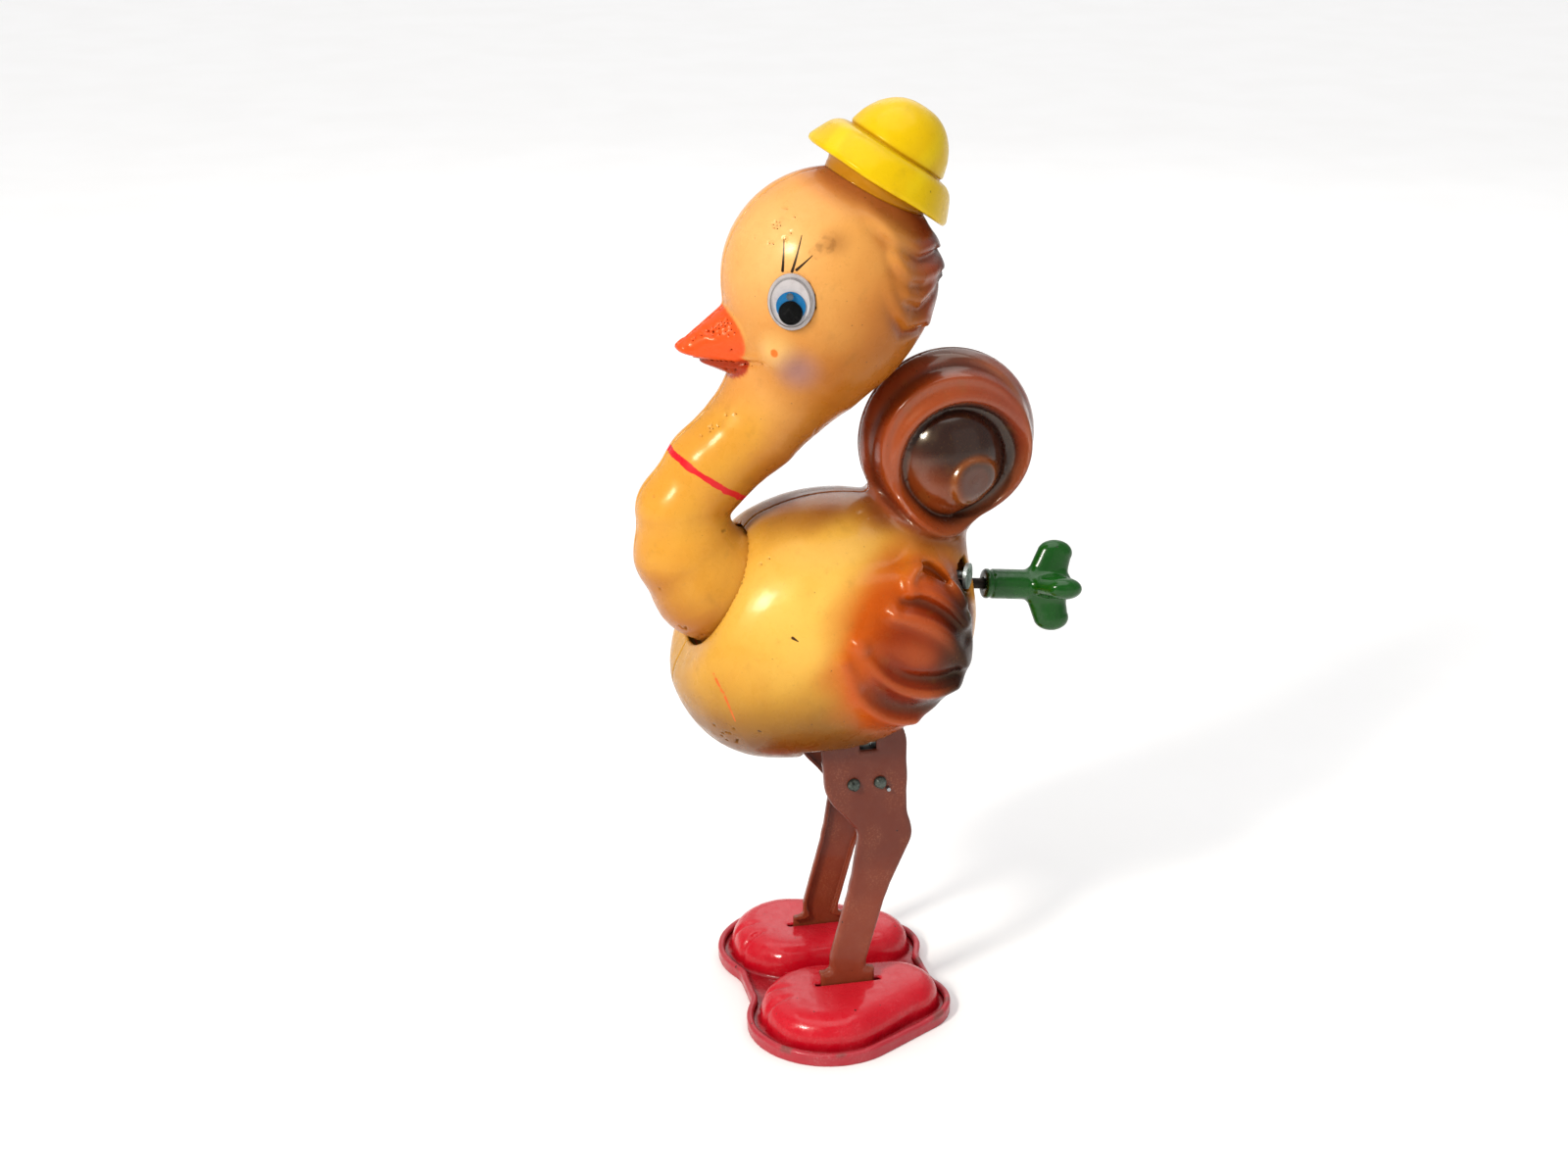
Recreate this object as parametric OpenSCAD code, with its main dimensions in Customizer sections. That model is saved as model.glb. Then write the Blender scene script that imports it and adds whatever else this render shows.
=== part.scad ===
// Wind-up hopping bird: celluloid body and head on a tin motor, legs and shoes.
// Millimetres, +Z up, beak towards -Y, key towards +Y, left side towards +X.

/* [Whole toy] */
// Distance from the hip to the middle of the toy's length, along Y
middle_y = 5.2; // [4:0.1:8]
// Wall of the celluloid mouldings
shell_wall = 1.0; // [0.7:0.1:1.4]
// Thickness of the tin plate
tin = 0.8; // [0.6:0.1:1]
// Running clearance round every pin
run_gap = 0.05; // [0.03:0.01:0.08]

/* [Shoes] */
// Half the distance between the two legs
leg_x = 15; // [14.8:0.1:15.6]
// Centre of one shoe's toe, from the middle
toe_x = 17.5; // [16:0.5:19]
// Radius of the rim round the toe
toe_r = 19; // [18:0.5:20]
// Radius of the rim round the heel
heel_r = 13.2; // [13:0.5:15]
// Height of the rolled rim
rim_h = 3.2; // [2.6:0.1:4]
// Height of the shoe's top
shoe_h = 9.6; // [9:0.2:11]

/* [Legs] */
// Height of the hip pin
hip_z = 61.3; // [60:0.1:63]
// Distance between the hip pin and the stop pin
stop_y = 6.3; // [6:0.1:7]
// Diameter of the hip pin and the stop pin
hip_d = 2.2; // [2:0.1:2.4]
// Depth of the turned-in edge of a leg
leg_flange = 1.3; // [0.8:0.1:1.4]
// Forward rocking of the body on its legs, degrees
hop_angle = 8; // [6:0.5:9]

/* [Body] */
// Middle of the body along Y and Z
body_c = [-3.2, 96.4]; // [-10:0.1:110]
// Half width, half length and half height of the body
body_r = [29.5, 35.2, 31]; // [28:0.1:37]
// Nose-down tilt of the body, degrees
body_tilt = 9; // [6:1:12]
// Middle of the tail plume along Y and Z
tail_c = [25, 138.8]; // [22:0.1:142]
// Half thickness and radius of the tail plume
tail_r = [10.5, 21]; // [9:0.1:22]
// Middle of a wing
wing_c = [23.3, 8, 98]; // [4:0.1:100]
// Half thickness, half length and half height of a wing
wing_r = [7.5, 17.5, 18.5]; // [6:0.1:20]
// Middle of the chest along Y and Z
chest_c = [-20, 89.6]; // [-24:0.1:92]
// Half width, half length and half height of the chest
chest_r = [21.5, 18, 21.6]; // [16:0.1:25]
// Place of a shell stud on the left side
stud_c = [12.1, 26.6, 109.3]; // [10:0.1:112]
// Turn of a shell stud away from straight back, degrees
stud_turn = 32; // [28:1:36]

/* [Neck and head] */
// Place of the neck pin along Y and Z
neck_c = [-25, 106];
// Half width and radius of the neck's ball end
neck_ball_r = [15.6, 14.2]; // [13.6:0.1:16]
// Gap between the neck and the body's opening
neck_gap = 0.4; // [0.3:0.05:0.6]
// Forward nod of the head, degrees
nod_angle = 10; // [6:1:10]
// Half width, half length and half height of the head
head_r = [21.5, 24.2, 23.8]; // [20:0.1:25]
// Middle of the head along Y and Z
head_c = [-2.6, 177.6]; // [-4:0.1:179]
// Middle of the cheeks along Y and Z
cheek_c = [-6.5, 162]; // [-8:0.1:164]
// Half width, half length and half height of the cheeks
cheek_r = [15.5, 15, 13]; // [12:0.1:17]
// Tip of the upper beak along Y and Z
beak_tip = [-34.6, 163.2]; // [-36:0.1:165]

/* [Hat] */
// Middle of the brim along Y and Z
hat_c = [8.7, 199.4]; // [8:0.1:201]
// Backward lean of the hat, degrees
hat_lean = 34; // [30:1:38]
// Radius of the brim
brim_r = 17.4; // [16.5:0.1:18]
// Radius of the crown
crown_r = 12; // [11:0.5:13]
// Height of the crown above the brim's middle
crown_h = 17; // [16.5:0.1:18]

/* [Eyes] */
// Middle of the left eye's backing plate
eye_c = [17.9, -15.3, 176.6]; // [-17:0.1:178]
// Turn of the eye towards the beak, degrees
eye_yaw = 24; // [18:1:30]
// Width and height of the eye
eye_size = [10.2, 12.2]; // [9:0.1:13]
// Distance of the swinging disc's pin above the eye's middle
eye_pin_z = 1.5; // [1.3:0.1:1.7]
// Radius of the blue iris disc
iris_r = 3.2; // [3:0.1:3.3]
// Radius of the black pupil disc
pupil_r = 2.6; // [2.4:0.1:2.7]

/* [Key] */
// Height of the sloping winding shaft above the hip pin's place along Y
key_z = 106; // [105:0.5:107]
// Diameter of the winding shaft
shaft_d = 2.5; // [2.2:0.1:2.8]
// Radius of the key's barrel
key_hub_r = 3.5; // [3.3:0.1:3.8]
// Place of the key's near end and far end along Y
key_y = [34.8, 57]; // [34:0.1:58]
// Reach of the key's lobes from the shaft
lobe_reach = 10; // [9:0.5:11]
// Slope of the winding shaft, down towards the key, degrees
shaft_slope = 6; // [0:1:6]

/* [Motor] */
// Place of the front and the rear motor plate along Y
plate_y = [-9, 14.5]; // [-10:0.1:15]
// Half width of the motor plates
plate_x = 12.3; // [12:0.1:12.5]
// Lowest and highest edge of the motor plates
plate_z = [78, 119]; // [77:0.5:120]
// Tooth size: pitch diameter per tooth
tooth = 0.5; // [0.45:0.05:0.55]
// Teeth of the great wheel
great_teeth = 44; // [40:4:44]
// Teeth of the second wheel
second_teeth = 32; // [24:4:32]
// Teeth of each pinion
pinion_teeth = 8; // [8:1:8]
// Place of the second arbor, sideways from the winding shaft
second_x = 3; // [2:0.5:4]
// Place of the cam arbor, sideways from the winding shaft
cam_x = -1.5; // [-2:0.5:0]
// Radius of the hop cam
cam_r = 3.2; // [3:0.1:3.3]
// Offset of the hop cam's disc from its arbor
cam_offset = 0.65; // [0.5:0.05:0.7]

/* [Hidden] */

// arbor places as [x, z], from the tooth counts
great_pr = tooth * great_teeth / 2;
second_pr = tooth * second_teeth / 2;
pinion_pr = tooth * pinion_teeth / 2;
second_span = great_pr + pinion_pr;
cam_span = second_pr + pinion_pr;
second_at = [second_x, key_z - sqrt(pow(second_span, 2) - pow(second_x, 2))];
cam_at = [cam_x, second_at[1] - sqrt(pow(cam_span, 2) - pow(second_x - cam_x, 2))];
arbor_r = 0.9;
wheel_t = 1.0;
great_y = 9.5;
second_y = 4;
cam_y = 9.3;
cam_t = 2.4;
// levels in the legs
leg_top = 79;
bridge_z = 75;
// hole in each leg for the return spring's end, as [y, z]
wire_end = [stop_y + 1.9, hip_z - 1.7];
cheek_x = plate_x;
// neck opening of the body: its lowest and highest point, along Y and Z
lip_low = [-35.8, 94.2];
lip_high = [-22.4, 120.9];
lip_lean = atan2(lip_high[0] - lip_low[0], lip_high[1] - lip_low[1]);
// shell opening round the leg tops
leg_gap = [17.4, -12, 18.5];
// rings of the neck as [y, z, radius, half width], from the throat down to the ball end
neck_path = [[-10, 157, 14.4, 14.1], [-19.6, 144.6, 10.8, 10.6], [-29.8, 135.4, 10, 9.8],
             [-36.8, 126, 9.7, 9.8], [-35.4, 116, 11.8, 12], [-30.5, 108.5, 13.2, 14.4]];
// toe and heel of a shoe as [x, y], and the straight edge between the shoes
toe_at = [toe_x, -6.4];
heel_at = [toe_x - 3.9, 11.4];
between_y = 22.4;
// levels of a shoe's dome as [height, distance in from its outline]
dome_levels = [[shoe_h - 4.2, 3.5], [shoe_h - 1.4, 5.6], [shoe_h, 9.4]];
// rounds of a leg as [y, z, radius], from the hip down to the ankle
thigh_rounds = [[2.6, 70, 10.2], [3.2, 62, 9.6], [7.2, 51, 6]];
shank_rounds = [[8, 47.5, 6.6], [4.2, 34, 4.5]];
foot_rounds = [[4.2, 34, 4.5], [-0.6, 15, 4.4]];
ankle_rounds = [[-0.6, 16, 4.4]];
sole_y = [-7.2, 5.8];
sole_z = [4.6, 8, 11.6];
// window near the top of a leg, as its corner and its size
leg_window = [[1.6, 69.7], [3.7, 4.4]];
// the flange is turned in between these heights
flange_z = [11.5, 67];
// rump running up into the tail: two balls as [y, z] and their radii
rump_c = [[15, 111], [21.5, 126]];
rump_r = [[17, 14, 14], [9.5, 10, 8]];
// beak's upper and lower halves: root ball and tip ball
beak_root_c = [[-21.5, 166.5], [-21, 160.6]];
beak_root_r = [[9.5, 6, 8.4], [8, 5, 5.8]];
beak_tip_c = [beak_tip, beak_tip + [2, -1.2]];
beak_tip_r = [[2.6, 2.4, 2.2], [2.6, 2.4, 1.8]];
// motor pillars' diameter and their distance from the plates' middle
pillar_d = 2.4;
pillar_x = 10.6;
neck_pin_d = 2;
eye_pin_d = 0.8;
stud_d = 6;
stud_hole_d = 7.4;
far_out = 200;

// ---------- shared shapes ----------

module placed() {
    translate([0, -middle_y, 0]) children();
}

module moulded() {
    resize([0, 0, 0]) union() children();
}

module ball(c, r) {
    translate(c) scale(r) sphere(r = 1, $fn = 28);
}

// the motor slopes about the winding shaft's middle
module motor_frame() {
    translate([0, 0, key_z]) rotate([-shaft_slope, 0, 0]) translate([0, 0, -key_z]) children();
}

function sloped(y, z) = [y * cos(shaft_slope) + (z - key_z) * sin(shaft_slope),
    key_z + (z - key_z) * cos(shaft_slope) - y * sin(shaft_slope)];

module rod_x(x0, x1, y, z, d) {
    translate([x0, y, z]) rotate([0, 90, 0]) cylinder(h = x1 - x0, d = d, $fn = 40);
}

module rod_y(y0, y1, x, z, d) {
    translate([x, y0, z]) rotate([-90, 0, 0]) cylinder(h = y1 - y0, d = d, $fn = 40);
}

// a flat plate that faces X, from an outline drawn as [y, z]
module plate_facing_x(x0, t) {
    translate([x0, 0, 0]) rotate([90, 0, 90]) linear_extrude(t) children();
}

// a flat plate that faces Y, from an outline drawn as [x, z]
module plate_facing_y(y0, t) {
    translate([0, y0 + t, 0]) rotate([90, 0, 0]) linear_extrude(t) children();
}

module left_half() {
    intersection() {
        children();
        translate([0, -far_out, 0]) cube([far_out, 2 * far_out, 2 * far_out]);
    }
}

module right_half() {
    intersection() {
        children();
        translate([-far_out, -far_out, 0]) cube([far_out, 2 * far_out, 2 * far_out]);
    }
}

// thin stamped teeth with generous backlash
function tooth_points(teeth, pr, turn) = [
    for (i = [0 : teeth - 1], k = [[-0.30, -0.45], [-0.12, 0.42], [0.12, 0.42], [0.30, -0.45]])
        let (a = turn + (i + k[0] * 0.62) * 360 / teeth, r = pr + k[1] * tooth * 1.15)
            [r * cos(a), r * sin(a)]];

module gear(at, y, t, teeth, turn, bore_d) {
    translate([at[0], y + t, at[1]]) rotate([90, 0, 0]) difference() {
        linear_extrude(t) polygon(tooth_points(teeth, tooth * teeth / 2, turn));
        translate([0, 0, -1]) cylinder(h = t + 2, d = bore_d, $fn = 32);
    }
}

// angle of the line from one arbor to another, as a gear sees it
function line_angle(a, b) = atan2(b[1] - a[1], b[0] - a[0]);

// ---------- shoes ----------

module shoe_outline(grow) {
    // one shoe: a wide toe and a narrower heel, turned out a little
    hull() {
        translate(toe_at) circle(r = toe_r + grow, $fn = 52);
        translate(heel_at) circle(r = heel_r + grow, $fn = 40);
    }
}

module both_shoes(grow) {
    shoe_outline(grow);
    mirror([1, 0]) shoe_outline(grow);
    // the plate runs straight across between the shoes
    translate([-toe_x, -between_y - grow]) square([2 * toe_x, 2 * (between_y + grow)]);
}

module base_tray() {
    color("firebrick") difference() {
        linear_extrude(rim_h) both_shoes(0);
        translate([0, 0, tin]) linear_extrude(rim_h) both_shoes(-tin);
    }
}

module shoe_dome(shrink, low) {
    hull() {
        for (level = concat([[low, 3.2]], dome_levels))
            translate([0, 0, level[0] - shrink]) linear_extrude(0.01)
                offset(delta = -shrink) shoe_outline(-level[1]);
    }
}

module leg_slot() {
    translate([leg_x - 0.6, -8.2, 2]) cube([1.2, 15, 12]);
}

module shoe_stamping() {
    color("crimson") moulded() difference() {
        union() {
            translate([0, 0, tin]) linear_extrude(tin) both_shoes(-tin - 0.3);
            shoe_dome(0, tin);
            mirror([1, 0, 0]) shoe_dome(0, tin);
        }
        difference() {
            union() {
                shoe_dome(tin, tin - 1);
                mirror([1, 0, 0]) shoe_dome(tin, tin - 1);
            }
            translate([-60, -60, -1]) cube([120, 120, 1]);
        }
        leg_slot();
        mirror([1, 0, 0]) leg_slot();
    }
}

// ---------- legs ----------

module leg_outline() {
    // thigh, hock and foot of one leg as seen from the side
    difference() {
        union() {
            for (rounds = [thigh_rounds, shank_rounds, foot_rounds]) hull() leg_rounds(rounds);
            hull() {
                leg_rounds(ankle_rounds);
                translate([sole_y[0], sole_z[1]]) square([sole_y[1] - sole_y[0], sole_z[2] - sole_z[1]]);
            }
            translate([sole_y[0], sole_z[0]]) square([sole_y[1] - sole_y[0], 5]);
        }
        translate([-30, leg_top]) square([60, 20]);
        translate(leg_window[0]) square(leg_window[1]);
    }
}

module leg_rounds(rounds) {
    for (r = rounds) translate([r[0], r[1]]) circle(r = r[2], $fn = 40);
}

module leg() {
    difference() {
        plate_facing_x(leg_x - tin / 2 - leg_flange, leg_flange + tin) leg_outline();
        // the edges are turned in only over the length that shows
        plate_facing_x(leg_x - tin / 2 - leg_flange - 1, leg_flange + 1) {
            offset(delta = -tin) leg_outline();
            translate([-30, flange_z[1]]) square([60, 30]);
            translate([-30, flange_z[0] - 30]) square([60, 30]);
        }
        rod_x(10, 20, 0, hip_z, hip_d);
        rod_x(10, 20, stop_y, hip_z, hip_d);
        rod_x(10, 20, wire_end[0], wire_end[1], 1.2);
    }
}

module leg_left() {
    color("sienna") leg();
}

module leg_right() {
    color("sienna") mirror([1, 0, 0]) leg();
}

// a pin with a peened head at each end
module peened_pin(y) {
    head_x = leg_x + tin / 2;
    rod_x(-head_x, head_x, y, hip_z, hip_d);
    for (side = [-1, 1])
        translate([side * head_x, y, hip_z]) rotate([0, side * 90, 0])
            cylinder(h = 0.9, d1 = 2.8, d2 = 2.2, $fn = 24);
}

module hip_pin() {
    color("dimgray") peened_pin(0);
}

module stop_pin() {
    color("dimgray") peened_pin(stop_y);
}

module hop_lever() {
    // a bridge between the legs, with a tongue that the cam pushes
    tongue_z = sloped(cam_y + cam_t, cam_at[1] - cam_r - cam_offset)[1] - 0.7;
    color("silver") union() {
        translate([-leg_x + tin / 2, 2.2, bridge_z]) cube([2 * leg_x - tin, 2.6, tin]);
        translate([-2.6, 4, tongue_z - tin]) cube([5.2, 4.6, tin]);
        translate([-2.6, 4, min(bridge_z, tongue_z - tin)])
            cube([5.2, tin, tin + abs(bridge_z - tongue_z + tin)]);
    }
}

// a round wire swept along points that all differ
function unit(v) = v / norm(v);
function heading(path, i) =
    let (n = len(path) - 1) unit(path[min(i + 1, n)] - path[max(i - 1, 0)]);
function wire_ring(path, i, r, sides, up) =
    let (d = heading(path, i), u = unit(cross(d, up)), v = cross(d, u))
        [for (k = [0 : sides - 1]) path[i] + r * (u * cos(360 * k / sides) + v * sin(360 * k / sides))];

module wire(path, r, up) {
    sides = 10;
    n = len(path);
    polyhedron(
        points = [for (i = [0 : n - 1]) each wire_ring(path, i, r, sides, up)],
        faces = concat(
            [[for (k = [0 : sides - 1]) k]],
            [for (i = [0 : n - 2], k = [0 : sides - 1])
                [i * sides + k, (i + 1) * sides + k,
                 (i + 1) * sides + (k + 1) % sides, i * sides + (k + 1) % sides]],
            [[for (k = [sides - 1 : -1 : 0]) (n - 1) * sides + k]]));
}

module return_spring() {
    // hairpin spring round the hip pin; its end shows beside the stop pin
    wire_d = 0.9;
    coil_r = 2.2;
    turns = 3;
    first_x = 7;
    last_x = first_x + turns * 1.2 * wire_d;
    sweep = 360 * turns + 90;
    coil = [for (a = [0 : 18 : sweep])
        [first_x + (last_x - first_x) * a / sweep, -coil_r * cos(a), hip_z - coil_r * sin(a)]];
    color("lightgray") wire(concat(
        [[first_x, -coil_r, hip_z + 9], [first_x, -coil_r, hip_z + 1]],
        coil,
        [[last_x, 3, hip_z - coil_r], [last_x, wire_end[0] - 1, wire_end[1] - 0.3],
         [last_x + 0.4, wire_end[0] - 0.2, wire_end[1]],
         [last_x + 1.4, wire_end[0], wire_end[1]],
         [leg_x + 1.5, wire_end[0], wire_end[1]]]), wire_d / 2, [0.35, 0.3, 1]);
}

// ---------- body ----------

module body_form(t) {
    // t is the distance inwards from the outer skin
    hull() {
        translate([0, body_c[0], body_c[1]]) rotate([body_tilt, 0, 0])
            scale(body_r - [t, t, t]) sphere(r = 1, $fn = 40);
        ball([0, chest_c[0], chest_c[1]], chest_r - [t, t, t]);
    }
    // rump running up into the tail
    hull() {
        for (i = [0, 1]) ball([0, rump_c[i][0], rump_c[i][1]], rump_r[i] - [t, t, t]);
    }
    ball([0, tail_c[0], tail_c[1]], [tail_r[0] - t, tail_r[1] - t, tail_r[1] - t]);
    for (side = [-1, 1])
        ball([side * wing_c[0], wing_c[1], wing_c[2]], wing_r - [t, t, t]);
}

// the body's outline cut off square at the neck opening
module body_solid(t) {
    difference() {
        body_form(t);
        translate([0, lip_low[0], lip_low[1]]) rotate([-lip_lean, 0, 0])
            translate([-60, -80 - t, -60]) cube([120, 80 + 2 * t, 200]);
    }
}

// room for the neck over its whole nod
module neck_passage() {
    for (a = [0 : nod_angle / 2 : nod_angle])
        translate([0, neck_c[0], neck_c[1]]) rotate([a, 0, 0])
            translate([0, -neck_c[0], -neck_c[1]]) neck_root(-neck_gap);
}

module body_cuts() {
    neck_passage();
    // slot round the leg tops
    translate([-leg_gap[0], leg_gap[1], 40])
        cube([2 * leg_gap[0], leg_gap[2] - leg_gap[1], 40]);
    // hole for the winding shaft
    motor_frame() rod_y(20, 45, 0, key_z, shaft_d + 2);
    for (side = [-1, 1])
        stud_place(side) translate([0, 0, -8]) cylinder(h = 12, d = stud_hole_d, $fn = 32);
}

module body_shell() {
    difference() {
        body_solid(0);
        body_solid(shell_wall);
        body_cuts();
    }
}

module body_shell_left() {
    color("goldenrod") moulded() left_half() body_shell();
}

module body_shell_right() {
    color("goldenrod") moulded() right_half() body_shell();
}

// ---------- motor ----------

module plate_outline() {
    translate([-plate_x, plate_z[0]]) square([2 * plate_x, plate_z[1] - plate_z[0]]);
}

module motor_plate(y) {
    difference() {
        plate_facing_y(y, tin) plate_outline();
        rod_y(y - 2, y + 4, 0, key_z, shaft_d + 2 * run_gap);
        rod_y(y - 2, y + 4, second_at[0], second_at[1], 2 * (arbor_r + run_gap));
        rod_y(y - 2, y + 4, cam_at[0], cam_at[1], 2 * (arbor_r + run_gap));
    }
}

module front_plate() {
    color("silver") motor_frame() motor_plate(plate_y[0]);
}

module rear_plate() {
    color("silver") motor_frame() motor_plate(plate_y[1]);
}

module frame_pillars() {
    color("lightgray") motor_frame() for (x = [-pillar_x, pillar_x], z = [plate_z[0] + 2, plate_z[1] - 2])
        rod_y(plate_y[0] + tin, plate_y[1], x, z, pillar_d);
}

// the stop pin runs in a curved slot about the hip pin
module stop_slot() {
    steps = 4;
    for (i = [0 : steps - 1])
        hull() for (a = [i * hop_angle / steps, (i + 1) * hop_angle / steps])
            translate([stop_y * cos(a), hip_z - stop_y * sin(a)])
                circle(d = hip_d + 0.2, $fn = 32);
}

// room for the return spring's end
module wire_notch() {
    hull() for (a = [0, hop_angle])
        rotate_about_hip(-a) translate([wire_end[0], wire_end[1] - hip_z]) circle(d = 1.7, $fn = 20);
}

module rotate_about_hip(a) {
    translate([0, hip_z]) rotate(a) children();
}

module cheek_outline() {
    difference() {
        union() {
            hull() {
                translate([0, hip_z]) circle(r = 3.2, $fn = 36);
                translate([stop_y - 0.4, hip_z - 0.4]) circle(r = 3.2, $fn = 36);
                translate([-3.6, 79]) square([14, 1]);
            }
            translate([plate_y[0], 79.4]) square([plate_y[1] + tin - plate_y[0], 30]);
        }
        translate([0, hip_z]) circle(d = hip_d + 2 * run_gap, $fn = 40);
        stop_slot();
        wire_notch();
        // window for the hop lever's bridge
        translate([1.4, bridge_z - 1.5]) square([6.2, tin + 2.4]);
    }
}

module hip_cheek() {
    plate_facing_x(cheek_x, tin) cheek_outline();
}

module hip_cheek_left() {
    color("darkgray") hip_cheek();
}

module hip_cheek_right() {
    color("darkgray") mirror([1, 0, 0]) hip_cheek();
}

module neck_bracket() {
    arm_x = 5;
    arm_h = 5;
    root_y = plate_y[0];
    color("silver") difference() {
        union() {
            for (side = [-1, 1])
                translate([side * arm_x - tin / 2, neck_c[0], neck_c[1] - arm_h / 2])
                    cube([tin, root_y - neck_c[0], arm_h]);
            for (side = [-1, 1])
                rod_x(side * arm_x - tin / 2, side * arm_x + tin / 2, neck_c[0], neck_c[1], arm_h);
            motor_frame() translate([-arm_x, root_y - tin, neck_c[1] - arm_h / 2])
                cube([2 * arm_x, tin, arm_h]);
        }
        rod_x(-10, 10, neck_c[0], neck_c[1], neck_pin_d + 2 * run_gap);
        motor_frame() rod_y(root_y - 3, root_y + 3, 0, key_z, shaft_d + 1);
    }
}

module mainspring() {
    // flat spiral between the front plate and the great wheel
    turns = 5;
    strip = 0.5;
    inner_r = 2.4;
    outer_r = 10;
    steps = 24 * turns;
    function spiral(i, side) = let (a = i * 15, r = inner_r + (outer_r - inner_r) * i / steps + side)
        [r * cos(a), r * sin(a)];
    color("slategray") motor_frame() translate([0, 0, key_z]) rotate([90, 0, 0]) translate([0, 0, 2])
        linear_extrude(5.6) polygon(concat(
            [for (i = [0 : steps]) spiral(i, strip / 2)],
            [for (i = [steps : -1 : 0]) spiral(i, -strip / 2)]));
}

module ratchet_click() {
    // sprung pawl riveted to the inside of the rear plate
    color("silver") motor_frame() union() {
        rod_y(plate_y[1] - 2.6, plate_y[1], 8.6, key_z + 3, 1.6);
        plate_facing_y(plate_y[1] - 2.4, tin) polygon([[7.6, key_z + 2.2], [9.6, key_z + 2.2],
            [9.4, key_z + 4.2], [5.2, key_z + 3.2], [5.4, key_z + 2.6]]);
    }
}

module stud_place(side) {
    translate([side * stud_c[0], stud_c[1], stud_c[2]])
        rotate([0, 0, -side * stud_turn]) rotate([-90, 0, 0]) children();
}

module shell_studs() {
    // flat discs on posts, seen through round openings in the shell
    color("gainsboro") for (side = [-1, 1]) union() {
        stud_place(side) cylinder(h = tin, d = stud_d, $fn = 40);
        difference() {
            stud_place(side) translate([0, 0, -14]) cylinder(h = 14.4, d = 2, $fn = 24);
            motor_frame() translate([-20, plate_y[1] + tin - 20, 80]) cube([40, 20, 50]);
        }
    }
}

// ---------- wheels ----------

module winding_arbor() {
    color("dimgray") motor_frame() rod_y(plate_y[0] - 1.5, key_y[1] - 14, 0, key_z, shaft_d);
}

module great_wheel() {
    color("peru") motor_frame() gear([0, key_z], great_y, wheel_t, great_teeth,
        line_angle([0, key_z], second_at), shaft_d);
}

module ratchet_wheel() {
    teeth = 12;
    color("peru") motor_frame() translate([0, great_y + 3.4, key_z]) rotate([90, 0, 0]) difference() {
        linear_extrude(1.2) polygon([for (i = [0 : teeth - 1], k = [[0, 4.6], [0.08, 3.6]])
            let (a = 20 + (i + k[0]) * 360 / teeth) [k[1] * cos(a), k[1] * sin(a)]]);
        translate([0, 0, -1]) cylinder(h = 4, d = shaft_d, $fn = 32);
    }
}

module second_arbor() {
    color("dimgray") motor_frame()
        rod_y(plate_y[0] - 0.8, plate_y[1] + tin + 0.8, second_at[0], second_at[1], 2 * arbor_r);
}

module second_pinion() {
    // its gap faces the great wheel's tooth
    color("goldenrod") motor_frame() gear(second_at, great_y - 0.4, wheel_t + 0.8, pinion_teeth,
        line_angle(second_at, [0, key_z]) + 180 / pinion_teeth, 2 * arbor_r);
}

module second_wheel() {
    color("peru") motor_frame() gear(second_at, second_y, wheel_t, second_teeth,
        line_angle(second_at, cam_at), 2 * arbor_r);
}

module cam_arbor() {
    color("dimgray") motor_frame()
        rod_y(plate_y[0] - 0.8, plate_y[1] + tin + 0.8, cam_at[0], cam_at[1], 2 * arbor_r);
}

module cam_pinion() {
    color("goldenrod") motor_frame() gear(cam_at, second_y - 0.4, wheel_t + 0.8, pinion_teeth,
        line_angle(cam_at, second_at) + 180 / pinion_teeth, 2 * arbor_r);
}

module hop_cam() {
    color("steelblue") motor_frame() difference() {
        rod_y(cam_y, cam_y + cam_t, cam_at[0], cam_at[1] + cam_offset, 2 * cam_r);
        rod_y(cam_y - 1, cam_y + cam_t + 1, cam_at[0], cam_at[1], 2 * arbor_r);
    }
}

module key_lobe(turn, reach) {
    translate([0, 0, key_z]) rotate([0, turn, 0]) hull() {
        translate([0, 52.6, reach - 2.6]) scale([0.8, 1.25, 1]) sphere(r = 2.6, $fn = 24);
        translate([0, 52.4, 3]) scale([0.62, 1.35, 1]) sphere(r = 3.8, $fn = 24);
    }
}

module winding_key() {
    color("darkgreen") motor_frame() difference() {
        union() {
            rod_y(key_y[0], key_y[1] - 4, 0, key_z, 2 * key_hub_r);
            translate([0, key_y[1] - 4, key_z]) rotate([-90, 0, 0])
                cylinder(h = 4, r1 = key_hub_r, r2 = 2, $fn = 40);
            for (turn = [0, 90, 180, 270]) key_lobe(turn, lobe_reach);
        }
        rod_y(key_y[0] - 1, key_y[1] - 14, 0, key_z, shaft_d);
    }
}

// ---------- head ----------

module neck_ball(t) {
    ball([0, neck_c[0], neck_c[1]],
        [neck_ball_r[0] - t, neck_ball_r[1] - t, neck_ball_r[1] - t]);
}

module neck_ring(i, t) {
    ring = neck_path[i];
    ball([0, ring[0], ring[1]], [ring[3] - t, ring[2] - t, ring[2] - t]);
}

// the part of the neck that passes through the body's opening
module neck_root(t) {
    hull() {
        neck_ring(len(neck_path) - 2, t);
        neck_ring(len(neck_path) - 1, t);
    }
    hull() {
        neck_ring(len(neck_path) - 1, t);
        neck_ball(t);
    }
}

module head_form(t) {
    hull() {
        ball([0, head_c[0], head_c[1]], head_r - [t, t, t]);
        ball([0, cheek_c[0], cheek_c[1]], cheek_r - [t, t, t]);
    }
    for (i = [0 : len(neck_path) - 3])
        hull() {
            neck_ring(i, t);
            neck_ring(i + 1, t);
        }
    neck_root(t);
    for (i = [0, 1])
        hull() {
            ball([0, beak_root_c[i][0], beak_root_c[i][1]], beak_root_r[i] - [t, t, t]);
            ball([0, beak_tip_c[i][0], beak_tip_c[i][1]], beak_tip_r[i] - [t, t, t] / 2);
        }
}

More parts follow.
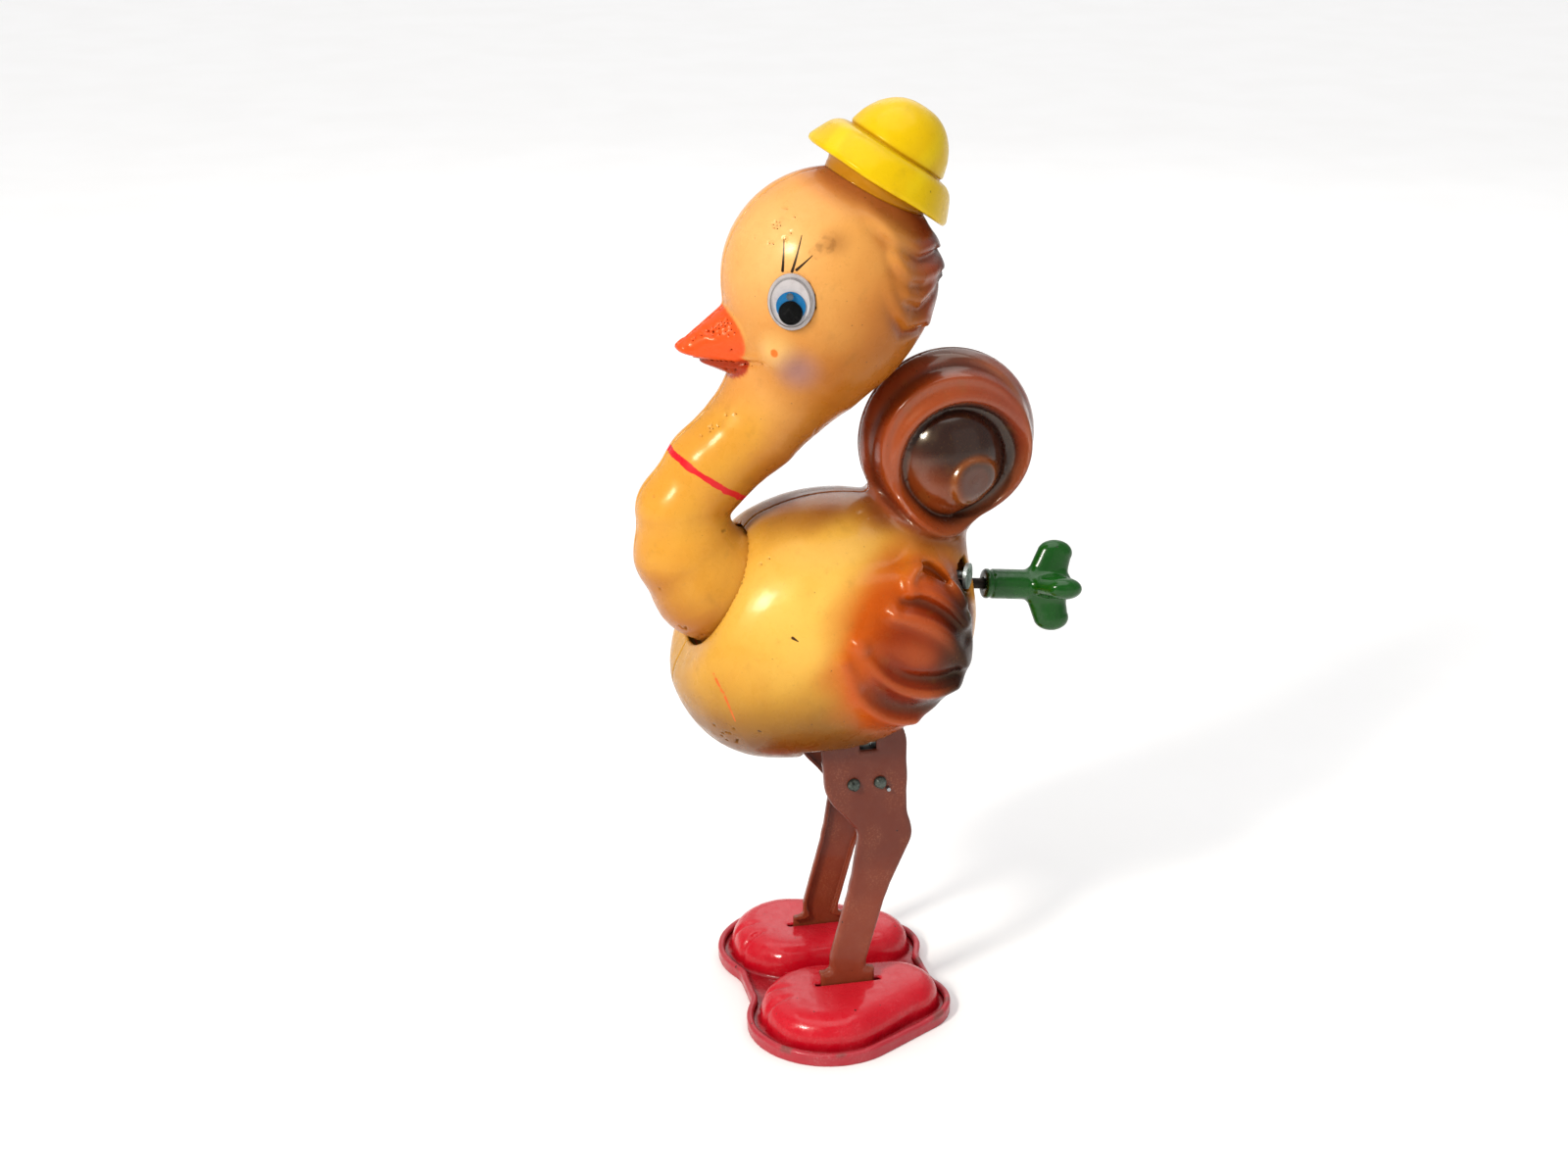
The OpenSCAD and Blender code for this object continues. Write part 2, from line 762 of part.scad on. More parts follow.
module head_shell() {
    difference() {
        head_form(0);
        head_form(shell_wall);
        // open end of the neck, inside the body
        translate([-30, neck_c[0] + 7, 80]) cube([60, 20, 45]);
        rod_x(-20, 20, neck_c[0], neck_c[1], neck_pin_d + 0.2);
        // under the hat
        hat_place() translate([0, 0, -6]) cylinder(h = 8, r = 2.2, $fn = 32);
        // seats of the eyes
        for (side = [-1, 1]) eye_place(side) translate([-0.3, 0, 0]) eye_oval(6, 0.15);
    }
}

module head_shell_left() {
    color("orange") moulded() left_half() head_shell();
}

module head_shell_right() {
    color("orange") moulded() right_half() head_shell();
}

module neck_pin() {
    color("dimgray") rod_x(-neck_ball_r[0], neck_ball_r[0], neck_c[0], neck_c[1], neck_pin_d);
}

module hat_place() {
    translate([0, hat_c[0], hat_c[1]]) rotate([-hat_lean, 0, 0]) children();
}

module hat() {
    // bowler with a thick rolled brim, glued on the crown of the head
    color("gold") moulded() difference() {
        hat_place() rotate_extrude($fn = 44) union() {
            hull() {
                translate([brim_r - 2.9, 0]) circle(r = 2.9, $fn = 18);
                translate([crown_r - 1, crown_h - crown_r]) circle(r = 1.6, $fn = 12);
                translate([8, -1]) square([4, 5]);
            }
            intersection() {
                translate([0, crown_h - crown_r]) circle(r = crown_r, $fn = 44);
                translate([0, 1]) square([40, 40]);
            }
        }
        hat_place() translate([0, 0, crown_h - crown_r - 1]) intersection() {
            sphere(r = crown_r - 1.6, $fn = 32);
            translate([-20, -20, 0]) cube([40, 40, 40]);
        }
        hat_place() translate([0, 0, -5]) cylinder(h = 9.2, r = 9, $fn = 32);
        ball([0, head_c[0], head_c[1]], head_r + [0.1, 0.1, 0.1]);
    }
}

// ---------- eyes ----------

module eye_place(side) {
    mirror([side > 0 ? 0 : 1, 0, 0]) translate(eye_c) rotate([0, 0, -eye_yaw]) children();
}

// an oval slab that starts at the eye's plane and runs outwards
module eye_oval(t, grow) {
    rotate([90, 0, 90]) linear_extrude(t)
        scale([eye_size[0] / 2 + grow, eye_size[1] / 2 + grow]) circle(r = 1, $fn = 48);
}

module eye_plate(side) {
    color("ivory") difference() {
        eye_place(side) eye_oval(0.6, 0);
        eye_place(side) translate([0, 0, eye_pin_z]) rod_x(-1, 4, 0, 0, eye_pin_d);
    }
}

module eye_disc(side, x0, t, z, r) {
    eye_place(side) difference() {
        translate([0, 0, z]) rod_x(x0, x0 + t, 0, 0, 2 * r);
        translate([0, 0, eye_pin_z]) rod_x(-1, 4, 0, 0, eye_pin_d + 2 * run_gap);
    }
}

module eye_pin(side) {
    color("gray") eye_place(side) union() {
        translate([0, 0, eye_pin_z]) rod_x(0, 1.9, 0, 0, eye_pin_d);
        translate([0, 0, eye_pin_z]) rod_x(1.9, 2.2, 0, 0, 1.5);
    }
}

module eye_blister(side) {
    // clear dome over the discs, with a flat flange on the plate
    color("lightcyan", 0.4) moulded() eye_place(side) difference() {
        intersection() {
            translate([0.6, 0, 0]) scale([2.7, eye_size[0] / 2, eye_size[1] / 2])
                sphere(r = 1, $fn = 26);
            translate([0.6, -20, -20]) cube([40, 40, 40]);
        }
        intersection() {
            translate([0.6, 0, 0]) scale([2.3, eye_size[0] / 2 - 0.35, eye_size[1] / 2 - 0.35])
                sphere(r = 1, $fn = 26);
            translate([0.3, -20, -20]) cube([40, 40, 40]);
        }
    }
}

module eye_plate_left() { eye_plate(1); }
module eye_plate_right() { eye_plate(-1); }
module eye_pin_left() { eye_pin(1); }
module eye_pin_right() { eye_pin(-1); }
module eye_blister_left() { eye_blister(1); }
module eye_blister_right() { eye_blister(-1); }
module iris_left() { color("deepskyblue") eye_disc(1, 0.75, 0.3, eye_pin_z - 2.4, iris_r); }
module iris_right() { color("deepskyblue") eye_disc(-1, 0.75, 0.3, eye_pin_z - 2.4, iris_r); }
module pupil_left() { color("black") eye_disc(1, 1.1, 0.3, eye_pin_z - 3.7, pupil_r); }
module pupil_right() { color("black") eye_disc(-1, 1.1, 0.3, eye_pin_z - 3.7, pupil_r); }

placed() base_tray();
placed() shoe_stamping();
placed() leg_left();
placed() leg_right();
placed() hip_pin();
placed() stop_pin();
placed() hop_lever();
placed() return_spring();
placed() body_shell_left();
placed() body_shell_right();
placed() front_plate();
placed() rear_plate();
placed() frame_pillars();
placed() hip_cheek_left();
placed() hip_cheek_right();
placed() neck_bracket();
placed() mainspring();
placed() ratchet_click();
placed() shell_studs();
placed() winding_key();
placed() winding_arbor();
placed() great_wheel();
placed() ratchet_wheel();
placed() second_arbor();
placed() second_pinion();
placed() second_wheel();
placed() cam_arbor();
placed() cam_pinion();
placed() hop_cam();
placed() head_shell_left();
placed() head_shell_right();
placed() neck_pin();
placed() hat();
placed() eye_plate_left();
placed() eye_plate_right();
placed() eye_pin_left();
placed() eye_pin_right();
placed() eye_blister_left();
placed() eye_blister_right();
placed() iris_left();
placed() iris_right();
placed() pupil_left();
placed() pupil_right();
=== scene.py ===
import math

import bpy
import numpy as np
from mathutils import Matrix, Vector


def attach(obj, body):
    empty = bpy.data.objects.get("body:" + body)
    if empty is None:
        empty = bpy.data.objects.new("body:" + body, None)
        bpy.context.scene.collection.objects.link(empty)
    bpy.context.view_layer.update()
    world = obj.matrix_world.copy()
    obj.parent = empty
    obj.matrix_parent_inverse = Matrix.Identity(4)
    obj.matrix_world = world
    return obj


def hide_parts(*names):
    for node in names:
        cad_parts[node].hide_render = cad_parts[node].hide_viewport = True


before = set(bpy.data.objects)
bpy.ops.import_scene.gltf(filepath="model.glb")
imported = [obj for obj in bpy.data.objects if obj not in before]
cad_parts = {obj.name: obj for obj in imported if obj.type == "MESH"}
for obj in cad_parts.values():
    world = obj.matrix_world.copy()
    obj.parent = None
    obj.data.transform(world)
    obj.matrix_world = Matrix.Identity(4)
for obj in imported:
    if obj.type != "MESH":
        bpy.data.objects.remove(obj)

scene = bpy.context.scene
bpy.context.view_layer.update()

# Places and sizes are toy millimetres: +Z up, beak towards -Y, Y measured from the hip pin.
MM = 0.001
MIDDLE_Y = 5.2
WALL = 1.0
TIN = 0.8
NECK_GAP = 0.45
NECK_NODS = (0, 5, 10)
NECK_PIN = (-25.0, 106.0)
NECK_PIN_RADIUS = 1.1
HIP_Z = 61.3
STOP_Y = 6.3
HIP_PIN_RADIUS = 1.1
LEG_X = 15.0
SHOE_TOE = (17.5, -6.4)
SHOE_HEEL = (13.6, 11.4)
SHOE_TOP = 9.6
SHOE_FOOT = 1.6
SHAFT_Z = 106.0
SHAFT_SLOPE = math.radians(6)
SHAFT_HOLE_RADIUS = 2.25
LIP_LOW = (-35.8, 94.2)
LIP_HIGH = (-22.4, 120.9)
HEAD_MIDDLE = (0, -2.6, 177.6)
EYE_CENTRE = (17.9, -15.3, 176.6)
EYE_YAW = math.radians(24)
EYE_HALF = (5.1, 6.1)
HAT_CENTRE = (0.0, 8.7, 199.4)
HAT_LEAN = math.radians(34)
HAT_BRIM = 17.7
STUD_CENTRE = (12.1, 26.6, 109.3)
STUD_TURN = math.radians(32)
WING_MIDDLE = (9.5, 98.0)
TAIL_MIDDLE = (24, 140)
# rings of the tail's scroll as (y, z, radius)
TAIL_RINGS = {"disc": (22.6, 139.7, 20.6), "second": (25.2, 137.6, 18.0), "hollow": (26.6, 134.4, 14.3),
              "bulge": (25.2, 134.6, 12.0), "knob": (29.0, 130.6, 5.8)}


# ---------- field arithmetic: negative inside, in millimetres ----------

def smooth_min(a, b, k):
    h = np.maximum(k - np.abs(a - b), 0) / k
    return np.minimum(a, b) - h * h * k / 4


def smooth_max(a, b, k):
    return -smooth_min(-a, -b, k)


def soft_step(lo, hi, v):
    t = np.clip((v - lo) / (hi - lo), 0, 1)
    return t * t * (3 - 2 * t)


def bump(v, middle, width):
    """1 at middle and 0 away from it."""
    return np.exp(-((v - middle) / width) ** 2)


def tilted(p, angle):
    """Points turned by angle about the X axis."""
    c, s = math.cos(angle), math.sin(angle)
    x, y, z = p.T
    return np.stack([x, y * c + z * s, z * c - y * s], 1)


def ellipsoid(p, centre, radii, tilt=0.0):
    q = p - np.asarray(centre, float)
    if tilt:
        q = tilted(q, tilt)
    r = np.asarray(radii, float)
    k0 = np.linalg.norm(q / r, axis=1)
    k1 = np.linalg.norm(q / (r * r), axis=1)
    return k0 * (k0 - 1) / np.maximum(k1, 1e-6)


def tapered(p, c0, r0, c1, r1):
    """A stretched ball that changes evenly from one ellipsoid into another."""
    c0, r0, c1, r1 = (np.asarray(v, float) for v in (c0, r0, c1, r1))
    axis = c1 - c0
    t = np.clip((p - c0) @ axis / (axis @ axis), 0, 1)[:, None]
    return ellipsoid(p, c0 + t * axis, r0 + t * (r1 - r0))


def round_taper(u, v, a, ra, b, rb):
    """Exact distance to the hull of two circles in a plane."""
    a, b = np.asarray(a, float), np.asarray(b, float)
    along = b - a
    length = np.linalg.norm(along)
    along = along / length
    h = (u - a[0]) * along[0] + (v - a[1]) * along[1]
    w = np.abs((u - a[0]) * along[1] - (v - a[1]) * along[0])
    sine = (ra - rb) / length
    cosine = math.sqrt(1 - sine * sine)
    k = h * cosine - w * sine
    out = w * cosine + h * sine - ra
    out = np.where(k < 0, np.hypot(w, h) - ra, out)
    return np.where(k > cosine * length, np.hypot(w, h - length) - rb, out)


def rectangle(u, v, lo, hi):
    du = np.maximum(lo[0] - u, u - hi[0])
    dv = np.maximum(lo[1] - v, v - hi[1])
    return np.minimum(np.maximum(du, dv), 0) + np.hypot(np.maximum(du, 0), np.maximum(dv, 0))


def line_distance(u, v, points):
    """(distance, side) of a bent line; side is positive below a line drawn towards +u."""
    best = np.full(len(u), 1e9)
    side = np.zeros(len(u))
    for (u0, v0), (u1, v1) in zip(points, points[1:]):
        du, dv = u1 - u0, v1 - v0
        t = np.clip(((u - u0) * du + (v - v0) * dv) / (du * du + dv * dv), 0, 1)
        d = np.hypot(u - u0 - t * du, v - v0 - t * dv)
        s = ((u - u0) * dv - (v - v0) * du) / math.hypot(du, dv)
        side = np.where(d < best, s, side)
        best = np.minimum(best, d)
    return best, side


def curve_through(points, steps):
    """Points along a smooth curve through the given ones."""
    pts = np.asarray(points, float)
    ends = np.concatenate([pts[:1], pts, pts[-1:]])
    out = []
    for a, b, c, d in zip(ends, ends[1:], ends[2:], ends[3:]):
        for t in np.arange(steps) / steps:
            out.append(0.5 * (2 * b + (c - a) * t + (2 * a - 5 * b + 4 * c - d) * t ** 2
                              + (3 * b - a - 3 * c + d) * t ** 3))
    return np.array(out + [pts[-1]])


def bump_line(u, v, points, width):
    """1 on a bent line and 0 away from it."""
    return bump(line_distance(u, v, points)[0], 0, width)


def dome(u, v, centre, radii, turn):
    """A pillow over a turned ellipse: 1 in the middle and 0 outside."""
    c, s = math.cos(turn), math.sin(turn)
    a = (u - centre[0]) * c + (v - centre[1]) * s
    b = (v - centre[1]) * c - (u - centre[0]) * s
    return np.maximum(1 - (a / radii[0]) ** 2 - (b / radii[1]) ** 2, 0)


def wobble(p, scale, seed):
    """Slow, repeatable unevenness between about -1 and 1."""
    x, y, z = p.T / scale
    waves = (np.sin(x * 1.7 + y * 2.3 + seed) + np.sin(y * 1.9 - z * 2.6 + 2 * seed)
             + np.sin(z * 2.1 + x * 2.9 - seed))
    return waves / 3


def shaft_frame(p):
    """Points in the frame of the sloping winding shaft, which runs along +Y through its origin."""
    return tilted(p - (0, 0, SHAFT_Z), -SHAFT_SLOPE)


# ---------- meshes from fields ----------

CORNERS = np.array([(i, j, k) for i in (0, 1) for j in (0, 1) for k in (0, 1)])
EDGES = [(a, b) for a in range(8) for b in range(a) if np.abs(CORNERS[a] - CORNERS[b]).sum() == 1]


def surface_net(field, lo, hi, step):
    """Vertices and four-cornered faces of the surface where field is 0, inside the box lo to hi."""
    lo, hi = np.asarray(lo, float), np.asarray(hi, float)
    n = np.ceil((hi - lo) / step).astype(int) + 1
    axes = [lo[i] + step * np.arange(n[i]) for i in range(3)]
    grid = np.stack(np.meshgrid(*axes, indexing="ij"), -1).reshape(-1, 3)
    value = np.concatenate([field(part) for part in np.array_split(grid, 1 + len(grid) // 400000)])
    value = value.reshape(n)
    inside = value < 0
    count = sum(inside[c[0]:n[0] - 1 + c[0], c[1]:n[1] - 1 + c[1], c[2]:n[2] - 1 + c[2]].astype(np.int8)
                for c in CORNERS)
    cells = np.argwhere((count > 0) & (count < 8))
    total, hits = np.zeros((len(cells), 3)), np.zeros(len(cells))
    for a, b in EDGES:
        fa = value[tuple((cells + CORNERS[a]).T)]
        fb = value[tuple((cells + CORNERS[b]).T)]
        crossed = (fa < 0) != (fb < 0)
        t = np.where(crossed, fa / np.where(crossed, fa - fb, 1), 0)[:, None]
        total += (CORNERS[a] + t * (CORNERS[b] - CORNERS[a])) * crossed[:, None]
        hits += crossed
    verts = lo + step * (cells + total / hits[:, None])
    index = np.full(n - 1, -1)
    index[tuple(cells.T)] = np.arange(len(cells))
    quads = []
    for axis in range(3):
        low = np.take(inside, range(n[axis] - 1), axis)
        high = np.take(inside, range(1, n[axis]), axis)
        at = np.argwhere(low != high)
        i, j = (axis + 1) % 3, (axis + 2) % 3
        at = at[(at[:, i] > 0) & (at[:, j] > 0) & (at[:, i] < n[i] - 1) & (at[:, j] < n[j] - 1)]
        u, v = np.eye(3, dtype=int)[[i, j]]
        ring = np.stack([index[tuple((at - d).T)] for d in (u + v, v, 0 * u, u)], 1)
        keep = low[tuple(at.T)]
        ring[~keep] = ring[~keep][:, ::-1]
        quads.append(ring)
    return verts, np.concatenate(quads)


def settle(field, verts, quads, step):
    """Evens the net out a little and then puts its vertices on the true surface."""
    a, b = np.concatenate([quads[:, [i, (i + 1) % 4]] for i in range(4)]).T
    degree = np.bincount(a, minlength=len(verts))[:, None]
    total = np.stack([np.bincount(a, verts[b, i], len(verts)) for i in range(3)], 1)
    verts = verts * 0.5 + total / np.maximum(degree, 1) * 0.5
    eps = 0.04
    for _ in range(3):
        f = field(verts)
        g = np.stack([field(verts + eps * e) - field(verts - eps * e) for e in np.eye(3)], 1) / (2 * eps)
        move = -f[:, None] * g / np.maximum((g * g).sum(1), 0.15)[:, None]
        size = np.linalg.norm(move, axis=1, keepdims=True)
        verts = verts + move * np.minimum(1, 0.4 * step / np.maximum(size, 1e-9))
    return verts


def sculpted(field, lo, hi, step):
    """The finished surface of a field inside the box lo to hi, on a grid of step millimetres."""
    verts, quads = surface_net(field, lo, hi, step)
    return settle(field, verts, quads, step), quads


def to_frame(p):
    return (np.asarray(p, float) - (0, MIDDLE_Y, 0)) * MM


def add_object(name, data):
    obj = bpy.data.objects.new(name, data)
    scene.collection.objects.link(obj)
    return obj


def smooth_mesh(name, places, faces):
    """A smooth-shaded mesh with its points in metres."""
    mesh = bpy.data.meshes.new(name)
    mesh.from_pydata(places, [], faces)
    mesh.polygons.foreach_set("use_smooth", np.ones(len(mesh.polygons), bool))
    return mesh


def make_object(name, verts, faces, paint=None):
    """A smooth mesh object from toy millimetres, with its airbrush colour and painted light and shade held
    on the points.
    """
    mesh = smooth_mesh(name, to_frame(verts).tolist(), [list(map(int, f)) for f in faces])
    if paint is not None:
        rgba = np.concatenate([np.clip(paint, 0, 1), np.ones((len(paint), 1))], 1)
        mesh.attributes.new("paint", "FLOAT_COLOR", "POINT").data.foreach_set("color", rgba.ravel())
    mesh.update()
    return add_object(name, mesh)


def finish_piece(obj, material, body, nodes):
    obj.data.materials.append(material)
    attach(obj, body)
    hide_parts(*nodes)


def mirrored(verts, faces):
    return verts * (-1, 1, 1), [face[::-1] for face in faces]


# ---------- body ----------

# Feather edges as (points (y, z), width, height): ridges stand up and grooves go down.
WING_LINES = [
    ([(9.4, 115.2), (12, 117.0), (15, 117.2), (18, 115.6), (20.6, 112.4), (22.6, 108)], 1.5, 1.5),
    ([(12.0, 114.2), (15.4, 114.0), (18.8, 111.4), (21.6, 107.2)], 1.5, -0.7),
    ([(9.6, 112.6), (12, 112.8), (15.6, 111.0), (19.6, 107.6), (22.4, 103.6)], 1.8, 1.6),
    ([(7.8, 109.8), (11.2, 109.8), (15.6, 107.6), (19.8, 103.8), (22.4, 100)], 1.7, -0.9),
    ([(5.6, 108.0), (9, 107.0), (14, 104.8), (18.4, 101.4), (21.3, 97.0), (22.2, 94.2)], 2.0, 1.9),
    ([(0.0, 99.4), (2.8, 96.8), (7, 93.8), (11.6, 92.4), (16.5, 91.8), (20.6, 92.2)], 1.9, -1.1),
    ([(-2.8, 101.6), (1.2, 95.8), (6, 91.4), (10.2, 89.2), (15.7, 88.0), (20.4, 88.8)], 2.0, 1.7),
    ([(-0.6, 90.6), (3.6, 86.6), (9.4, 84.4), (15.6, 84.6), (20.0, 85.4)], 2.0, -0.8),
    ([(-6.0, 97.6), (-2.8, 89.4), (1.8, 84.2), (6.2, 81.4), (11.4, 80.2)], 2.0, 1.3)]
WING_CURVES = [(curve_through(points, 3), width, tall) for points, width, tall in WING_LINES]


def ring_distances(p):
    """Distances outside the five rings of the tail's scroll."""
    return [np.hypot(p[:, 1] - y, p[:, 2] - z) - radius for y, z, radius in TAIL_RINGS.values()]


def wing_zone(p):
    """1 inside the wing and 0 away from it."""
    away = np.hypot((p[:, 1] - WING_MIDDLE[0]) / 19, (p[:, 2] - WING_MIDDLE[1]) / 22)
    return soft_step(1.15, 0.9, away) * soft_step(9, 15, np.abs(p[:, 0]))


def wing_relief(p):
    _, y, z = p.T
    height = 1.2 * dome(y, z, (9.5, 98.6), (12.5, 6.6), math.radians(-22))
    for points, width, tall in WING_CURVES:
        height += tall * bump_line(y, z, points, width)
    return height * wing_zone(p)


def tail_zone(p):
    """1 on the flat sides of the tail and 0 away from them."""
    away = np.hypot(p[:, 1] - TAIL_MIDDLE[0], p[:, 2] - TAIL_MIDDLE[1])
    return soft_step(24, 20, away) * soft_step(1.5, 6, np.abs(p[:, 0]))


def tail_relief(p):
    """Flat-sided scroll: a rim, two terraces, a hollow, and a bulge with a knob on it."""
    disc, second, hollow, bulge, knob = ring_distances(p)
    height = 1.0 * soft_step(0.8, -0.8, second) + 0.9 * bump(second, -1.0, 1.2)
    height += 0.7 * bump(disc, -0.9, 1.0)
    height += 0.9 * bump(hollow, 1.6, 1.5) - 3.4 * soft_step(0.9, -2.2, hollow)
    radius = TAIL_RINGS["bulge"][2]
    height += 5.6 * np.maximum(1 - ((bulge + radius) / radius) ** 2, 0) ** 0.62
    height += 0.8 * soft_step(0.5, -0.6, knob) - 0.7 * soft_step(-1.0, -4.5, knob)
    return height * tail_zone(p)


def body_skin(p):
    q = np.abs(p) * (1, 0, 0) + p * (0, 1, 1)
    trunk = ellipsoid(q, (0, -3.2, 96.4), (29.5, 35.2, 31), math.radians(9))
    trunk = smooth_min(trunk, ellipsoid(q, (0, -20, 89.6), (23, 18, 21.6)), 9)
    rump = tapered(q, (0, 15, 111), (17, 14, 14), (0, 21.5, 126), (9.5, 10, 8))
    trunk = smooth_min(trunk, rump, 5)
    trunk = smooth_min(trunk, ellipsoid(q, (23.0, 8, 98), (6.8, 17.2, 18.2)), 3)
    tail = ellipsoid(q, (0, 24.8, 138.8), (10.3, 20.6, 20.8))
    flat_tail = smooth_max(tail, q[:, 0] - 7.6, 5)
    return smooth_min(trunk, flat_tail, 3)


def body_relief(p):
    return wing_relief(p) + tail_relief(p)


def nodded(p, angle):
    """Points in the frame of a head that has nodded forward by angle about the neck pin."""
    return tilted(p - (0, *NECK_PIN), angle) + (0, *NECK_PIN)


def lip_distance(p):
    """Distance in front of the neck opening's plane."""
    dy, dz = LIP_HIGH[0] - LIP_LOW[0], LIP_HIGH[1] - LIP_LOW[1]
    length = math.hypot(dy, dz)
    return (-(p[:, 1] - LIP_LOW[0]) * dz + (p[:, 2] - LIP_LOW[1]) * dy) / length


def leg_slot(p):
    """The opening under the body for the legs and the hip cheeks."""
    half_width, middle_y, half_length, top = 17.4, 3.25, 15.25, 80
    across = np.abs(p[:, 0]) - half_width
    along = np.abs(p[:, 1] - middle_y) - half_length
    return np.maximum(np.maximum(across, along), p[:, 2] - top)


def shaft_hole(p):
    q = shaft_frame(p)
    front = 20
    return np.maximum(np.hypot(q[:, 0], q[:, 2]) - SHAFT_HOLE_RADIUS, front - q[:, 1])


def stud_hole(p):
    """The ragged hole that shows a stud of the motor, beside the winding shaft."""
    ax, ay = math.sin(STUD_TURN), math.cos(STUD_TURN)
    q = p - STUD_CENTRE
    across = q[:, 0] * ay - q[:, 1] * ax
    angle = np.arctan2(q[:, 2], across)
    ragged = 3.9 + 0.30 * np.sin(3 * angle + 1.2) + 0.16 * np.sin(7 * angle)
    return np.maximum(np.hypot(across, q[:, 2]) - ragged, -(q[:, 0] * ax + q[:, 1] * ay) - 8)


def body_half(p):
    skin, relief, front = body_skin(p), body_relief(p), lip_distance(p)
    outside = smooth_max(skin - relief, front, 2.2)
    # relief is backed by a thicker wall
    backing = 2.4 * tail_zone(p) + 1.4 * wing_zone(p)
    inside = smooth_max(skin - np.minimum(relief, 0), front, 2.2) + WALL + backing
    shell = smooth_max(outside, -inside, 0.3)
    for nod in NECK_NODS:
        shell = smooth_max(shell, NECK_GAP - neck_root(nodded(p, math.radians(nod))), 0.4)
    shell = smooth_max(shell, -leg_slot(p), 0.4)
    shell = smooth_max(shell, -shaft_hole(p), 0.3)
    shell = smooth_max(shell, -stud_hole(p), 0.3)
    return np.maximum(shell, -p[:, 0])


def linear(code):
    """A linear colour from a hexadecimal one."""
    channels = [int(code[i:i + 2], 16) / 255 for i in (1, 3, 5)]
    return np.array([c / 12.92 if c <= 0.04045 else ((c + 0.055) / 1.055) ** 2.4 for c in channels])


def airbrushed_with_painted_light(p, base, coats):
    """Colours of the points: the base, and over it each coat as (colour, how much of it); some coats are
    painted highlights and painted shade.
    """
    paint = np.tile(linear(base), (len(p), 1))
    for code, mask in coats:
        paint = paint + (linear(code) - paint) * np.clip(mask, 0, 1)[:, None]
    return paint


def near(p, centre, radius, fade):
    """1 within radius of a place on either side of the toy, fading to 0."""
    q = np.abs(p[:, 0]) - centre[0], p[:, 1] - centre[1], p[:, 2] - centre[2]
    return soft_step(radius + fade, radius - fade, np.sqrt(q[0] ** 2 + q[1] ** 2 + q[2] ** 2))


def facing_up(field, p):
    """How far the surface faces upwards, from -1 to 1."""
    step = np.array((0, 0, 0.3))
    return (field(p + step) - field(p - step)) / 0.6


def wing_coats(p, relief, uneven):
    """From orange to nearly black at the feather tips, with painted shade in the grooves and painted
    highlights on the ridges.
    """
    _, y, z = p.T
    side = soft_step(10, 16, np.abs(p[:, 0]))
    reach = np.hypot(y - 11.0, (z - 97) * 0.94) + 1.2 * uneven
    core = np.hypot(y - 14.5, (z - 95.0) * 0.84) + 1.0 * uneven
    low_feather = np.hypot((y - 9) / 9.5, (z - 86.6 + 0.25 * (y - 9)) / 4.6)
    # painted shade in the feather grooves
    groove = soft_step(0.3, -0.8, relief) * soft_step(-3, 8, y) * soft_step(21, 14, core)
    tips = y + 0.25 * (98 - z) * (z < 98) - 0.35 * np.maximum(z - 104, 0) + 0.8 * uneven
    dark = soft_step(10.5, 21.5, tips) * soft_step(116, 108, z) * soft_step(79, 86, z)
    # painted highlight along the feather ridges
    ridge = soft_step(0.7, 1.5, relief) * soft_step(21, 12, y) * soft_step(25, 18, reach)
    return [("#B84E08", soft_step(25, 15.5, reach) * side),
            ("#842806", soft_step(19, 10, core) * side),
            ("#6E1E06", soft_step(1.25, 0.5, low_feather) * side * 0.9),
            ("#4A1606", groove * side * 0.75),
            ("#200A06", dark * side * 0.95),
            ("#B8562A", ridge * side * 0.6)]


def tail_coats(p, uneven):
    """Mahogany, with painted shade nearly black in the hollow, at the foot of the second terrace and in the
    knob's middle, painted highlights on the rim and round the knob, and a browner bulge.
    """
    _, y, z = p.T
    disc, second, hollow, bulge, knob = ring_distances(p)
    tail = soft_step(22.5, 20.6, np.hypot(y - TAIL_MIDDLE[0], z - TAIL_MIDDLE[1]))
    tail = tail * soft_step(118, 124, z + 0.25 * (y - 20))
    on_bulge = soft_step(0.4, -1.2, bulge) * tail
    return [("#84341A", tail),
            ("#9A4214", soft_step(0.8, -1.2, second) * tail * soft_step(38, 14, y)),
            # painted shade at the foot of the second terrace and, nearly black, in the hollow
            ("#4A1609", bump(second, 1.0, 0.9) * tail * 0.8),
            ("#260A05", soft_step(0.4, -1.4, hollow) * tail),
            ("#7A3410", on_bulge * soft_step(139, 128, z + 0.45 * (y - 20))),
            # a painted highlight round the knob and painted shade in its hollow middle
            ("#8A4A1C", bump(knob, -0.2, 0.8) * on_bulge * 0.8),
            ("#54200C", on_bulge * soft_step(-0.8, -3.0, knob)),
            # a painted highlight along the rim
            ("#9A5838", tail * bump(disc, -1.0, 1.1) * 0.6),
            ("#4A3028", tail * soft_step(155, 160, z + 0.5 * uneven) * 0.7)]


def body_paint(p):
    _, y, z = p.T
    uneven = wobble(p, 5.0, 0.7)
    # painted light on the body: a painted lit patch high on the front, painted shade towards the bottom and
    # on the surfaces that face down, and orange towards the back
    trunk = [("#E6B450", near(p, (22, -12, 108), 15, 11)),
             ("#96641A", soft_step(98, 68, z + 2 * uneven) * 0.95),
             ("#C97F20", soft_step(-2, 18, y + uneven) * soft_step(90, 106, z) * 0.7),
             ("#6A3A0A", soft_step(0.05, -0.8, facing_up(body_skin, p)) * 0.95)]
    wing = wing_coats(p, body_relief(p), uneven)
    # brown along the back and down the foot of the tail
    above = z - (124.8 - 0.5 * np.maximum(y - 3, 0) - 0.035 * np.maximum(-6 - y, 0) ** 1.6)
    back = [("#86481E", soft_step(-3.0, 3.4, above + 1.2 * uneven))]
    return airbrushed_with_painted_light(p, "#D09A38", trunk + wing + back + tail_coats(p, uneven))


# ---------- head and neck ----------

